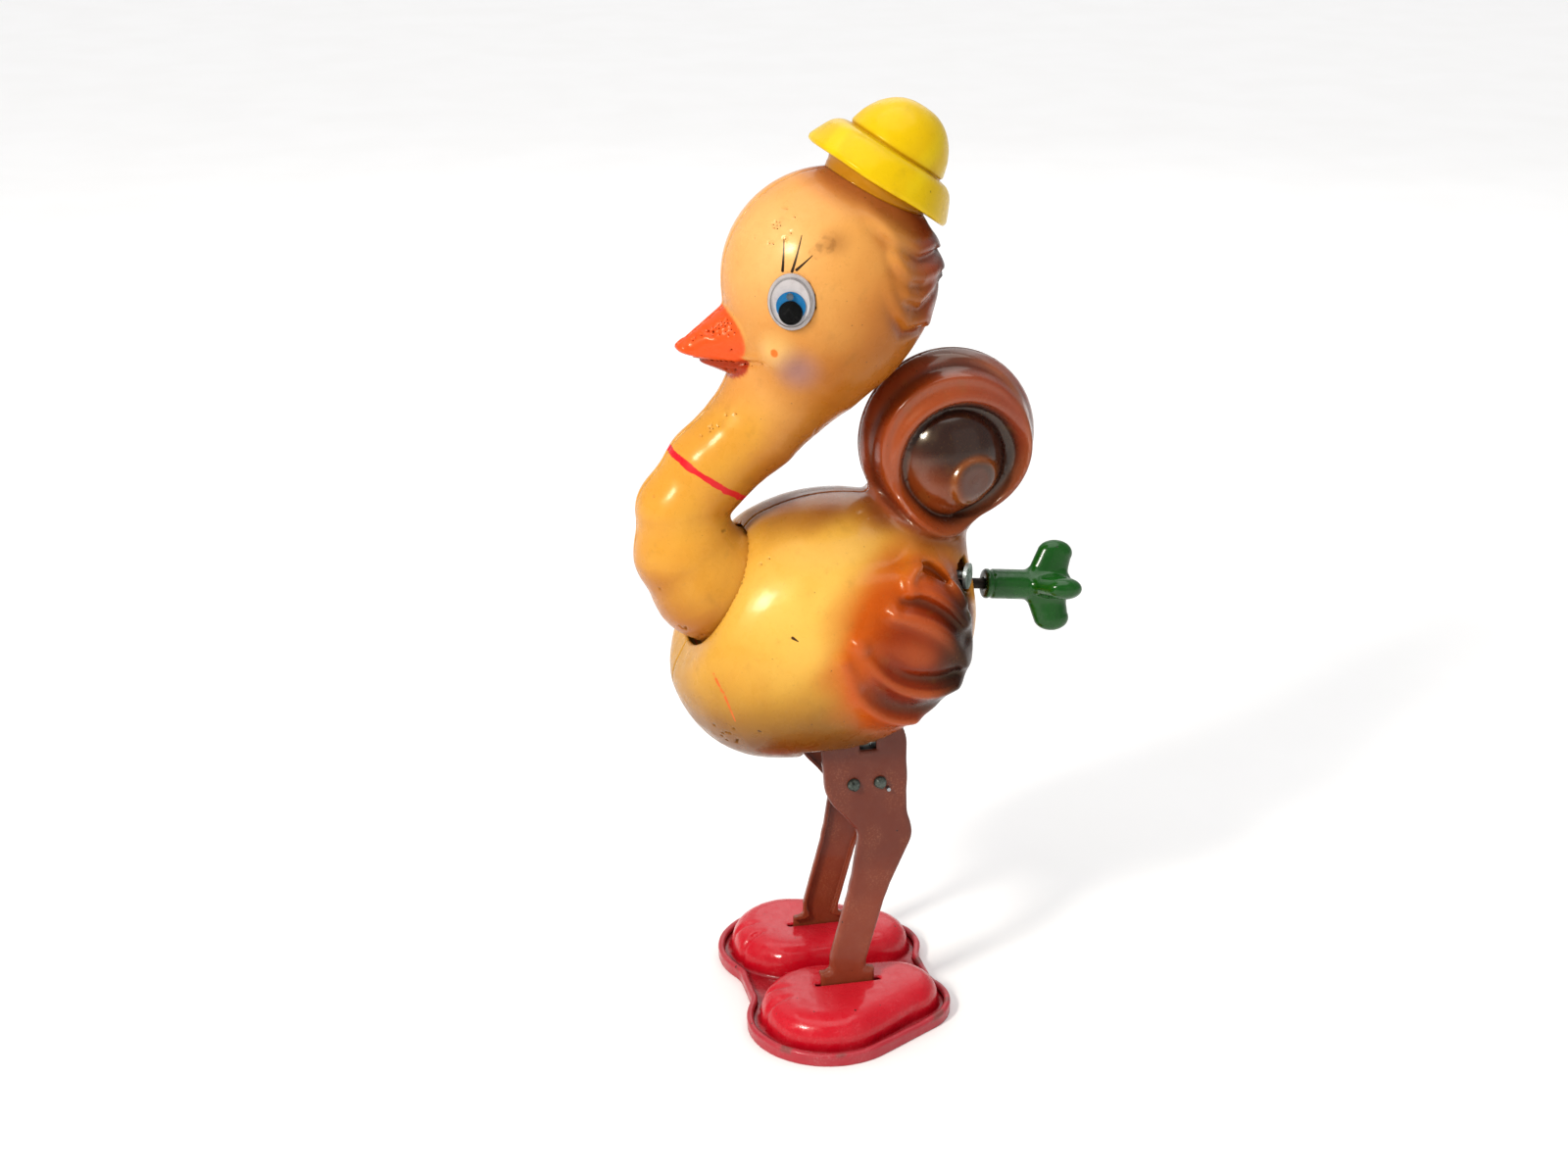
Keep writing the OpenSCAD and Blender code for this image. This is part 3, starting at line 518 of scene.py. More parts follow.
NECK_RINGS = [  # middle, then half width, length and height, from the throat to the ball end
    ((0, -10, 157), (14.1, 14.4, 14.4)), ((0, -19.6, 144.6), (10.6, 10.8, 10.8)),
    ((0, -29.8, 135.4), (9.8, 10.0, 10.0)), ((0, -36.8, 126), (9.8, 9.7, 9.7)),
    ((0, -35.4, 116), (12.0, 11.8, 11.8)), ((0, -30.5, 108.5), (14.4, 13.2, 13.2)),
    ((0, *NECK_PIN), (15.6, 14.2, 14.2))]
BEAK_TIP = (0, -34.6, 163.2)
MOUTH = [(-37.6, 162.1), (-33.0, 160.7), (-25.5, 160.3), (-20.0, 161.4)]
HAIR_LINES = [[(0.5, 192.8), (6.1, 188.8), (13.1, 184.4), (18.0, 184.4)],
              [(4.2, 188.6), (6.6, 183.7), (10.3, 179.9), (14.1, 178.6), (19.0, 179.6)],
              [(5.6, 183.0), (8.9, 176.1), (13.1, 173.7), (19.0, 177.0)],
              [(4.2, 177.0), (7.2, 172.3), (9.9, 168.9), (14.6, 168.3)]]


def beak_skin(p):
    upper = tapered(p, (0, -21.5, 166.5), (9.5, 6, 8.4), BEAK_TIP, (2.6, 2.4, 2.2))
    lower = tapered(p, (0, -21, 160.6), (8, 5, 5.6), (0, -32.6, 161.8), (2.6, 2.4, 1.7))
    return smooth_min(upper, lower, 0.7)


def skull(p):
    head = ellipsoid(p, HEAD_MIDDLE, (21.5, 24.2, 23.8))
    return smooth_min(head, ellipsoid(p, (0, -6.5, 162), (15.5, 15, 13)), 11)


def neck_root(p):
    """The part of the neck that passes through the body's opening."""
    above, bend, ball = NECK_RINGS[4:]
    return smooth_min(tapered(p, *above, *bend), tapered(p, *bend, *ball), 1.0)


def neck_skin(p):
    neck = neck_root(p)
    for a, b in zip(NECK_RINGS[:4], NECK_RINGS[1:5]):
        neck = smooth_min(neck, tapered(p, *a, *b), 1.5)
    return neck


def head_skin(p):
    return smooth_min(smooth_min(skull(p), neck_skin(p), 4), beak_skin(p), 0.9)


def hair_relief(p):
    """Four overlapping locks swept back over each side of the head."""
    _, y, z = p.T
    height = np.zeros(len(p))
    for line in HAIR_LINES:
        distance, side = line_distance(y, z, line)
        start = soft_step(line[0][0] - 1.5, line[0][0] + 5, y)
        below = np.where(side > 0, distance, -distance)
        ridge = 1.2 * bump(below, -1.5, 2.0) - 1.0 * bump(below, 1.0, 1.4)
        height += ridge * start
    return height * soft_step(2, 7, np.abs(p[:, 0])) * soft_step(162, 167, z)


def head_relief(p):
    _, y, z = p.T
    height = hair_relief(p)
    beak = soft_step(-19, -22.5, y)
    height -= 0.75 * bump_line(y, z, MOUTH, 0.6) * beak
    height += 0.45 * bump_line(y, z, [(a, b + 1.5) for a, b in MOUTH], 0.8) * beak
    nostril = np.exp(-((y + 30.4) / 1.1) ** 2 - ((z - 167.0 + 0.5 * (y + 30.4)) / 0.5) ** 2)
    height -= 0.8 * nostril * soft_step(0.5, 3, np.abs(p[:, 0]))
    # a cheek beside the corner of the mouth
    height += 1.3 * near(p, (14.5, -17.0, 164.4), 3.0, 3.0)
    return height


def eye_frame(p):
    """(outwards, backwards, up) from the middle of the left eye's backing plate."""
    x, y, z = (p - EYE_CENTRE).T
    c, s = math.cos(EYE_YAW), math.sin(EYE_YAW)
    return x * c - y * s, x * s + y * c, z


def eye_seat(p):
    """The recess in the cheek that takes the backing plate and the cover of the eye."""
    play, depth, reach = 0.12, 0.25, 6
    out, back, up = eye_frame(p)
    oval = (np.hypot(back / EYE_HALF[0], up / EYE_HALF[1]) - 1) * EYE_HALF[0] - play
    return np.maximum(np.maximum(oval, -depth - out), out - reach)


def neck_opening(p):
    """The open back of the neck, through which the motor's bracket reaches the neck pin."""
    front, rear, middle_z, half_height = -18, 2, 102.5, 22.5
    along = np.maximum(front - p[:, 1], p[:, 1] - rear)
    return np.maximum(along, np.abs(p[:, 2] - middle_z) - half_height)


def head_half(p):
    skin, relief = head_skin(p), head_relief(p)
    # the hair is backed by a thicker wall
    backing = 1.5 * soft_step(-2, 3, p[:, 1]) * soft_step(160, 166, p[:, 2])
    shell = smooth_max(skin - relief, -(skin - np.minimum(relief, 0) + WALL + backing), 0.3)
    shell = smooth_max(shell, -neck_opening(p), 0.4)
    pin = np.hypot(p[:, 1] - NECK_PIN[0], p[:, 2] - NECK_PIN[1]) - NECK_PIN_RADIUS
    shell = np.maximum(shell, -pin)
    shell = smooth_max(shell, -eye_seat(p), 0.25)
    return np.maximum(shell, -p[:, 0])


def head_paint(p):
    _, y, z = p.T
    uneven = wobble(p, 5.0, 2.1)
    # painted light on the head and neck: a painted highlight on the forehead, painted shade towards the
    # back, under the head, behind the cheek and on the surfaces that face down; the neck yellower at the
    # front and darker towards the bottom
    ground_and_painted_light = [("#E6AE6A", near(p, (12, -20, 188), 11, 10) * 0.9),
              ("#B0621A", soft_step(-9, 8, y + uneven) * soft_step(194, 166, z) * 0.85),
              ("#8E4812", soft_step(0, 15, y + uneven) * 0.6),
              ("#A05814", near(p, (18, -4.5, 160.5), 6, 7) * 0.7),
              ("#C27820", soft_step(168, 158, z) * soft_step(-16, 0, y) * 0.7),
              ("#D39636", soft_step(156, 146, z) * soft_step(-14, -24, y)),
              ("#AE7020", soft_step(122, 100, z + uneven) * 0.85),
              ("#A45E16", soft_step(0.15, -0.7, facing_up(head_skin, p)) * 0.85)]
    # brown under the hat and at the back of the hair
    hat_seat = np.sqrt(p[:, 0] ** 2 + (y - 7.5) ** 2 + (z - 197) ** 2)
    behind = soft_step(9.5, 18.5, y + 0.10 * (z - 176) + uneven) * soft_step(160, 170, z)
    # painted shade in the grooves between the locks of hair
    groove = soft_step(0.0, -0.8, head_relief(p)) * soft_step(1, 11, y)
    hair = [("#A2582A", soft_step(20.5, 13.0, hat_seat + uneven) * 0.8),
            ("#8C3818", behind),
            ("#34140E", soft_step(16.5, 21.0, y + uneven) * soft_step(166, 178, z) * 0.9),
            ("#7E3412", groove * 0.8)]
    # a painted highlight on the cheek's bump, then a lilac blush and a small brown mark
    cheeks = [("#E2B870", near(p, (15.5, -18.2, 165.2), 3.4, 3.2) * 0.8),
              ("#9C7474", near(p, (16.0, -13.6, 161.2), 3.8, 3.6) * 0.85),
              ("#8E5424", near(p, (19.5, -6.0, 189.5), 2.2, 2.6) * 0.6)]
    # a reddish smear on the throat, then the beak with its darker lower half and mouth line
    on_beak = soft_step(-0.25, 0.25, skull(p) - beak_skin(p) - 0.1) * soft_step(1.0, 0.4, beak_skin(p))
    mouth, below = line_distance(y, z, MOUTH)
    beak = [("#C4561E", near(p, (4, -17.0, 155.6), 3.0, 3.4) * 0.7),
            ("#E0501C", on_beak),
            ("#9E2C0A", on_beak * soft_step(-0.4, 0.6, below)),
            ("#7E1C08", on_beak * bump(mouth, 0, 0.5) * 0.8)]
    return airbrushed_with_painted_light(p, "#D6964A", ground_and_painted_light + hair + cheeks + beak)


# ---------- shoes ----------

def shoe_outline(p):
    """Distance outside the nearer of the two shoes, seen from above."""
    return round_taper(np.abs(p[:, 0]), p[:, 1], SHOE_TOE, 19.0, SHOE_HEEL, 13.2)


def both_outline(p):
    """The same with the web that joins the shoes."""
    web = rectangle(p[:, 0], p[:, 1], (-17.5, -22.4), (17.5, 22.4))
    return smooth_min(shoe_outline(p), web, 1.2)


def toe_creases(p):
    """Two short grooves that part the toes."""
    u, v = np.abs(p[:, 0]) - SHOE_TOE[0], p[:, 1] - SHOE_TOE[1]
    depth = np.zeros(len(p))
    for angle in (-112, -84):
        a = math.radians(angle)
        across = u * math.sin(a) - v * math.cos(a)
        along = u * math.cos(a) + v * math.sin(a)
        depth += bump(across, 0, 0.8) * soft_step(7.5, 11.5, along)
    return 0.5 * depth


def stamping(p):
    """Two domed shoes pressed out of one tin plate, open underneath."""
    inwards = -shoe_outline(p) - 3.2 + 0.25 * wobble(p, 6.0, 1.0)
    u = np.maximum(1 - inwards / 9.0, 0)
    v = np.maximum((p[:, 2] - SHOE_FOOT) / (SHOE_TOP - SHOE_FOOT), 0)
    outer = ((u ** 3 + v ** 3) ** (1 / 3) - 1) * 7.5 + toe_creases(p)
    shell = np.maximum(smooth_max(outer, -(outer + TIN), 0.2), TIN - p[:, 2])
    flange = np.maximum(both_outline(p) + 1.1, np.abs(p[:, 2] - 1.2) - 0.4)
    flange = np.maximum(flange, -shoe_outline(p) - 4.6)
    tin = smooth_min(shell, flange, 0.7)
    slot = rectangle(np.abs(p[:, 0]), p[:, 1], (LEG_X - 0.75, -8.6), (LEG_X + 0.75, 7.2))
    return smooth_max(tin, -slot, 0.2)


def tray(p):
    """The bottom plate with its crimped rim."""
    edge, z = both_outline(p), p[:, 2]
    angle = np.arctan2(p[:, 1], p[:, 0])
    dent = 0.12 * np.sin(9 * angle + 0.6) + 0.08 * np.sin(23 * angle)
    plate = np.maximum(edge + 0.5, np.abs(z - 0.4) - 0.4)
    wall = rectangle(edge, z, (-0.75, 0.25), (-0.25, 2.6)) - 0.25
    bead = np.hypot(edge + 0.75, z - 2.45 - dent) - 0.75
    return smooth_min(smooth_min(plate, wall, 0.3), bead, 0.4)


def shoe_paint(p):
    z = p[:, 2]
    # the tops of the shoes lighter, partly dust and partly a painted sheen, and painted shade towards their
    # feet
    crown = soft_step(7.5, 9.4, z) * 0.75 * (0.8 + 0.2 * wobble(p, 4.0, 3.0))
    return airbrushed_with_painted_light(p, "#C20A1E", [("#CC2430", crown), ("#700810", soft_step(3.2, 1.6, z) * 0.7)])


def tray_paint(p):
    worn = soft_step(0.25, 0.75, wobble(p, 3.0, 5.0)) * soft_step(1.5, 2.8, p[:, 2])
    return airbrushed_with_painted_light(p, "#AE2834", [("#6B4038", worn * 0.7)])


# ---------- legs ----------

def leg_outline(p):
    _, y, z = p.T
    thigh = round_taper(y, z, (2.6, 70), 10.2, (3.2, 62), 9.6)
    thigh = smooth_min(thigh, round_taper(y, z, (3.2, 62), 9.6, (7.2, 51), 6.0), 1.0)
    shank = round_taper(y, z, (8, 47.5), 6.4, (4.2, 34), 4.5)
    foot = round_taper(y, z, (4.2, 34), 4.5, (-0.6, 15.5), 4.4)
    leg = smooth_min(smooth_min(thigh, shank, 1.6), foot, 0.8)
    sole = rectangle(y, z, (-7.4, 4.6), (5.8, 12.4))
    leg = np.maximum(smooth_min(leg, sole, 3.0), z - 79)
    return np.maximum(leg, -rectangle(y, z, (1.6, 69.7), (5.3, 74.1)))


def leg_solid(p):
    """Tin plate whose edges roll over into a narrow turned-in flange."""
    outline = leg_outline(p)
    outer = p[:, 0] - (LEG_X + TIN / 2)
    inner = LEG_X - TIN / 2 - 1.3 - p[:, 0]
    block = np.maximum(smooth_max(outline, outer, 1.1), inner)
    # behind the plate the flange leaves the middle open, and it stops short of both ends
    behind = p[:, 0] - (LEG_X - TIN / 2)
    flangeless = np.minimum(67 - p[:, 2], p[:, 2] - 11.5)
    return np.maximum(block, -np.maximum(behind, np.minimum(outline + TIN, flangeless)))


def leg_paint(p):
    z = p[:, 2]
    # lighter lower down, partly dust and partly a painted highlight, and painted shade towards the top under
    # the body
    shank = soft_step(46, 24, z + 2 * wobble(p, 4.0, 1.3)) * 0.75
    return airbrushed_with_painted_light(p, "#642612", [("#883A20", shank), ("#5E2614", soft_step(58, 74, z) * 0.5)])


# ---------- key ----------

KEY_TURN = math.radians(-14)
KEY_RADIUS = 3.5
KEY_FRONT, KEY_BACK = 34.8, 54
KEY_BORE, KEY_BORE_END = 1.25, 43


def key_solid(p):
    q = shaft_frame(p)
    x, y, z = q.T
    across = np.hypot(x, z)
    barrel = smooth_max(across - KEY_RADIUS, np.maximum(KEY_FRONT - y, y - KEY_BACK), 0.8)
    key = smooth_min(barrel, ellipsoid(q, (0, 53.6, 0), (3.3, 3.2, 3.3)), 1.0)
    for turn in range(4):
        a = turn * math.pi / 2 + KEY_TURN
        r = np.stack([x * math.cos(a) - z * math.sin(a), y, x * math.sin(a) + z * math.cos(a)], 1)
        lobe = tapered(r, (0, 50.6, 3.0), (2.7, 4.9, 3.2), (0, 52.0, 7.6), (2.6, 4.3, 3.1))
        key = smooth_min(key, lobe, 1.3)
    hole = np.maximum(across - KEY_BORE, y - KEY_BORE_END)
    groove = 0.35 * bump(y, 36.4, 0.35) * (np.abs(across - KEY_RADIUS) < 1)
    return np.maximum(key + groove, -hole)


def key_paint(p):
    return airbrushed_with_painted_light(p, "#0A4A08", [
        ("#175A14", soft_step(-0.2, 0.8, wobble(p, 3.5, 4.0)) * 0.35),
        ("#081C08", soft_step(35.4, 34.9, shaft_frame(p)[:, 1]))])


# ---------- turned pieces ----------

def ring_faces(n, segments):
    """Faces through rings of n points each, closed at both ends by the two points after the rings."""
    first, last = segments * n, segments * n + 1
    faces = []
    for s in range(segments):
        a, b = s * n, (s + 1) % segments * n
        faces += [[a + i, a + i + 1, b + i + 1, b + i] for i in range(n - 1)]
        faces += [[first, a, b], [last, b + n - 1, a + n - 1]]
    return faces


def turned(profile, segments):
    """A closed solid of revolution about Z. The profile starts and ends on the axis."""
    ring = np.asarray(profile, float)[1:-1]
    angle = 2 * math.pi * np.arange(segments) / segments
    verts = [[r * math.cos(a), r * math.sin(a), z] for a in angle for r, z in ring]
    verts += [[0, 0, profile[0][1]], [0, 0, profile[-1][1]]]
    return np.array(verts), ring_faces(len(ring), segments)


HAT_PROFILE = [(0.0, 17.0), (3.2, 16.7), (6.2, 15.4), (8.9, 12.9), (10.7, 9.8), (11.5, 7.4), (11.7, 6.3),
               (11.35, 5.7), (12.0, 5.5), (13.6, 5.1), (15.2, 3.9), (16.5, 1.6), (17.5, -0.6),
               (17.7, -1.5), (17.2, -2.2), (15.6, -1.9), (13.6, -1.6), (12.2, -2.2), (11.6, -3.4),
               (11.4, -4.6), (10.6, -5.4), (5.0, -5.0), (0.0, -4.6)]


def make_hat(material):
    """The moulded hat: its brim is slightly warped and its underside follows the head."""
    profile = curve_through(HAT_PROFILE, 5)
    verts, faces = turned(profile, 144)
    angle = np.arctan2(verts[:, 1], verts[:, 0])
    reach = np.hypot(verts[:, 0], verts[:, 1]) / HAT_BRIM
    verts[:, 2] += reach ** 2 * (0.28 * np.sin(2 * angle + 0.6) + 0.12 * np.sin(5 * angle))
    verts[:, :2] *= (1 + 0.006 * np.sin(3 * angle + 1.0) * reach)[:, None]
    local = verts.copy()
    verts = tilted(verts, HAT_LEAN) + HAT_CENTRE
    # the collar and the hollow underneath follow the crown of the head
    for _ in range(3):
        depth = skull(verts) - 0.15
        away = verts - HEAD_MIDDLE
        away /= np.linalg.norm(away, axis=1, keepdims=True)
        verts = verts - away * np.minimum(depth, 0)[:, None]
    under = soft_step(-1.0, -2.0, local[:, 2]) * soft_step(17.6, 16.6, np.hypot(local[:, 0], local[:, 1]))
    paint = airbrushed_with_painted_light(verts, "#D6B208", [
        ("#E2C81A", soft_step(0.1, 0.9, wobble(verts, 4.0, 0.4)) * 0.5),
        ("#B67A10", under),
        ("#A8740A", bump(local[:, 2], 5.8, 0.45) * (reach > 0.6) * 0.7)])
    obj = make_object("hat_moulding", verts, faces, paint)
    finish_piece(obj, material, "head", ["hat"])


def make_pin(name, node, y, material):
    """A steel rod through both legs, with hammered ends."""
    rod = HIP_PIN_RADIUS
    end = LEG_X + TIN / 2
    half = [(0, end + 1.25), (0.7, end + 1.22), (1.25, end + 1.0), (1.52, end + 0.5), (1.5, end), (rod, end)]
    profile = half + [(rod, 0)] + [(r, -x) for r, x in reversed(half)]
    verts, faces = turned(profile, 28)
    rough = np.sin(verts[:, 0] * 5.1 + 1.3) * np.sin(verts[:, 1] * 4.3 + 0.4)
    ends = soft_step(end, end + 0.6, np.abs(verts[:, 2]))
    verts[:, 2] += np.sign(verts[:, 2]) * ends * 0.22 * rough
    verts[:, :2] *= (1 + 0.06 * ends * np.sin(3 * np.arctan2(verts[:, 1], verts[:, 0]) + y))[:, None]
    verts = np.stack([verts[:, 2], verts[:, 1] + y, HIP_Z - verts[:, 0]], 1)
    obj = make_object(name, verts, faces)
    finish_piece(obj, material, "stand", [node])


def make_cover(side, material):
    """The clear cover of an eye: a flat flange, an upright wall and a softly domed front."""
    outer = [(1.0, 0.62), (1.0, 0.80), (0.955, 0.95), (0.93, 1.5), (0.90, 2.1), (0.82, 2.6), (0.66, 2.95),
             (0.40, 3.15), (0.0, 3.22)]
    inner = [(0.0, 2.92), (0.38, 2.86), (0.62, 2.68), (0.77, 2.38), (0.845, 1.95), (0.87, 1.4), (0.89, 0.62)]
    profile = list(reversed(outer)) + list(reversed(inner))
    ring = curve_through(profile[1:-1], 3)
    segments = 72
    verts, faces = [], ring_faces(len(ring), segments)
    for s in range(segments):
        a = 2 * math.pi * s / segments
        verts += [[w, k * EYE_HALF[0] * math.cos(a), k * EYE_HALF[1] * math.sin(a)] for k, w in ring]
    verts += [[outer[-1][1], 0, 0], [inner[0][1], 0, 0]]
    x, y, z = np.array(verts).T
    c, s = math.cos(EYE_YAW), math.sin(EYE_YAW)
    v = np.stack([x * c + y * s, y * c - x * s, z], 1) + EYE_CENTRE
    if side == "right":
        v, faces = mirrored(v, faces)
    obj = make_object(f"eye_cover_{side}", v, faces)
    finish_piece(obj, material, "head", [f"eye_blister_{side}"])


# ---------- materials ----------

class Nodes:
    """Short names for building a node tree."""

    def __init__(self, name):
        self.material = bpy.data.materials.new(name)
        self.material.use_nodes = True
        self.tree = self.material.node_tree
        self.shader = self.tree.nodes["Principled BSDF"]
        self.place = self.add("TexCoord").outputs["Object"]

    def add(self, kind, **inputs):
        node = self.tree.nodes.new("ShaderNode" + kind)
        for key, value in inputs.items():
            self.put(node.inputs[key], value)
        return node

    def put(self, socket, value):
        """Feeds a socket with another socket, a hexadecimal colour or a plain value."""
        if isinstance(value, bpy.types.NodeSocket):
            self.tree.links.new(value, socket)
        elif isinstance(value, str):
            socket.default_value = (*linear(value), 1.0)
        else:
            socket.default_value = value

    def shade(self, **inputs):
        """Sets the shader's inputs, with _ for the spaces in their names."""
        for key, value in inputs.items():
            self.put(self.shader.inputs[key.replace("_", " ")], value)
        return self.material

    def math(self, operation, a, b=0.0, clamp=False):
        node = self.add("Math")
        node.operation = operation
        node.use_clamp = clamp
        self.put(node.inputs[0], a)
        self.put(node.inputs[1], b)
        return node.outputs[0]

    def vector(self, operation, a, b=(0, 0, 0)):
        node = self.add("VectorMath")
        node.operation = operation
        self.put(node.inputs[0], a)
        self.put(node.inputs[1], b)
        return node.outputs["Value" if operation in ("LENGTH", "DOT_PRODUCT") else "Vector"]

    def noise(self, size, detail=3.0, stretch=None):
        """Noise whose blotches are about size millimetres across."""
        place = self.place if stretch is None else self.vector("MULTIPLY", self.place, stretch)
        node = self.add("TexNoise", Vector=place, Scale=1 / (size * MM), Detail=detail)
        return node.outputs["Fac"]

    def ramp(self, value, lo, hi, low=0.0, high=1.0):
        node = self.add("MapRange")
        node.interpolation_type = "SMOOTHSTEP"
        self.put(node.inputs["Value"], value)
        limits = {"From Min": lo, "From Max": hi, "To Min": low, "To Max": high}
        for key, number in limits.items():
            node.inputs[key].default_value = number
        return node.outputs["Result"]

    def cloud(self, size, detail, lo, hi, low, high):
        """Noise that rises from low to high between its levels lo and hi."""
        return self.ramp(self.noise(size, detail), lo, hi, low, high)

    def mix(self, fac, a, b, blend="MIX"):
        node = self.add("Mix")
        node.data_type = "RGBA"
        node.blend_type = blend
        self.put(node.inputs[0], fac)
        self.put(node.inputs[6], a)
        self.put(node.inputs[7], b)
        return node.outputs[2]

    def paint(self):
        """The airbrush colour, with its painted light and shade, held on the points."""
        node = self.add("Attribute")
        node.attribute_name = "paint"
        return node.outputs["Color"]

    def bump(self, *layers):
        """Each layer is (height, depth in millimetres)."""
        normal = None
        for height, depth in layers:
            node = self.add("Bump", Height=height, Distance=depth * MM, Strength=1.0)
            if normal is not None:
                self.put(node.inputs["Normal"], normal)
            normal = node.outputs["Normal"]
        self.put(self.shader.inputs["Normal"], normal)

    def toy_place(self):
        """Coordinates in toy millimetres, the same on both sides of the toy."""
        parts = self.add("SeparateXYZ", Vector=self.place)
        x = self.math("ABSOLUTE", parts.outputs[0])
        joined = self.add("CombineXYZ", X=x, Y=parts.outputs[1], Z=parts.outputs[2])
        scaled = self.vector("SCALE", joined.outputs[0])
        scaled.node.inputs["Scale"].default_value = 1 / MM
        return self.vector("ADD", scaled, (0, MIDDLE_Y, 0))

    def stroke(self, place, a, b, wide, narrow):
        """1 on a brush stroke from a to b in the YZ plane, wide at a and narrow at b."""
        a, b = np.array((0, *a)), np.array((0, *b))
        flat = self.vector("MULTIPLY", place, (0, 1, 1))
        rest = self.vector("SUBTRACT", flat, tuple(a))
        axis = (b - a) / ((b - a) @ (b - a))
        t = self.math("MAXIMUM", self.math("MINIMUM", self.vector("DOT_PRODUCT", rest, tuple(axis)), 1), 0)
        foot = self.vector("SCALE", tuple(b - a))
        self.put(foot.node.inputs["Scale"], t)
        distance = self.vector("LENGTH", self.vector("SUBTRACT", rest, foot))
        width = self.math("ADD", self.math("MULTIPLY", t, narrow - wide), wide)
        return self.ramp(self.math("DIVIDE", distance, width), 1.15, 0.75)


def celluloid(name, grime="#7A5524", grime_amount=0.5, tint="#FFE6B4"):
    """Airbrushed celluloid: glossy, slightly wavy, with fine dust, soft stains and small scuffs."""
    n = Nodes(name)
    colour = n.paint()
    cloud = n.cloud(14, 4, 0.35, 0.7, 0.0, 0.22)
    colour = n.mix(cloud, colour, grime, "SOFT_LIGHT")
    dust = n.cloud(0.55, 2, 0.60, 0.74, 0.0, grime_amount * 0.30)
    colour = n.mix(dust, colour, grime)
    stain = n.cloud(5.0, 5, 0.60, 0.74, 0.0, grime_amount * 0.32)
    colour = n.mix(stain, colour, grime)
    speck = n.cloud(0.9, 0, 0.86, 0.89, 0.0, 0.6)
    colour = n.mix(speck, colour, "#2C1A10")
    haze = n.cloud(3.2, 5, 0.35, 0.72, 0.24, 0.42)
    n.shade(Roughness=haze, Specular_IOR_Level=0.24, Specular_Tint=tint, Coat_Weight=0.12,
            Coat_Roughness=0.14)
    n.bump((n.noise(9, 2), 0.30), (n.noise(2.2, 3), 0.03), (n.noise(0.45, 2), 0.006))
    return n, colour


def body_material():
    n, colour = celluloid("celluloid_body")
    place = n.toy_place()
    # the tail is varnished
    height = n.add("SeparateXYZ", Vector=place).outputs[2]
    n.shade(Coat_Weight=n.ramp(height, 120, 128, 0.12, 0.75))
    scratch = n.math("MAXIMUM", n.stroke(place, (-33.2, 93.3), (-31.2, 88.6), 0.30, 0.22),
                     n.stroke(place, (-31.4, 89.4), (-28.7, 82.2), 0.30, 0.12))
    scratch = n.math("MULTIPLY", scratch, n.cloud(1.2, 2, 0.35, 0.5, 0.2, 0.9))
    colour = n.mix(scratch, colour, "#D85A1A")
    chips = n.math("MAXIMUM", n.stroke(place, (-16.9, 103.4), (-15.8, 102.7), 0.35, 0.12),
                   n.stroke(place, (-23.8, 80.2), (-23.2, 79.9), 0.25, 0.12))
    colour = n.mix(chips, colour, "#3A1C10")
    return n.shade(Base_Color=colour)


def head_material():
    n, colour = celluloid("celluloid_head")
    place = n.toy_place()
    lashes = [((-17.0, 183.0), (-16.2, 189.2)), ((-15.2, 183.0), (-12.7, 190.2)),
              ((-14.3, 183.4), (-11.0, 186.4))]
    for root, tip in lashes:
        colour = n.mix(n.stroke(place, root, tip, 0.30, 0.09), colour, "#1C120C")
    smudge = n.math("MULTIPLY", n.stroke(place, (-10.5, 186.8), (-7.6, 188.6), 1.3, 1.8),
                    n.cloud(1.6, 2, 0.40, 0.70, 0.1, 0.5))
    colour = n.mix(smudge, colour, "#7A4A22")
    spot = n.ramp(n.vector("LENGTH", n.vector("SUBTRACT", place, (15.6, -18.6, 164.9))), 1.15, 0.7)
    colour = n.mix(spot, colour, "#E06A1E")
    # painted collar line, a little uneven
    _, along, above = n.add("SeparateXYZ", Vector=place).outputs
    ring = n.math("SUBTRACT", above, 138.6)
    slant = n.math("MULTIPLY", n.math("ADD", along, 36.6), 0.70)
    wave = n.math("MULTIPLY", n.math("SUBTRACT", n.noise(6, 2), 0.5), 1.2)
    offset = n.math("ABSOLUTE", n.math("ADD", n.math("ADD", ring, slant), wave))
    half_width = n.cloud(3, 2, 0.3, 0.7, 0.75, 1.15)
    band = n.ramp(n.math("DIVIDE", offset, half_width), 1.1, 0.85)
    on_neck = n.ramp(above, 150, 149)
    colour = n.mix(n.math("MULTIPLY", band, on_neck), colour, "#CE1426")
    return n.shade(Base_Color=colour)


def hat_material():
    n, colour = celluloid("celluloid_hat", "#9A7A14", 0.6, "#FFE070")
    return n.shade(Base_Color=colour)


def enamel(name, dust, dust_amount, wear, rough=(0.18, 0.42)):
    """Enamelled tin: hard gloss under handling dust, with chips worn through to dark metal."""
    n = Nodes(name)
    colour = n.paint()
    film = n.cloud(7, 5, 0.40, 0.68, 0.0, dust_amount)
    grains = n.cloud(0.5, 3, 0.50, 0.66, 0.2, 1.0)
    colour = n.mix(n.math("MULTIPLY", film, grains), colour, dust)
    chips = n.cloud(1.6, 4, 0.715, 0.74, 0.0, 1.0)
    colour = n.mix(chips, colour, wear)
    n.bump((n.noise(6, 2), 0.18), (n.noise(1.5, 3), 0.05), (n.math("SUBTRACT", 1, chips), 0.03),
           (n.noise(0.35, 2), 0.008))
    return n.shade(Base_Color=colour, Roughness=n.cloud(2.6, 5, 0.35, 0.7, *rough),
                   Specular_IOR_Level=0.25, Coat_Weight=0.25, Coat_Roughness=0.10)


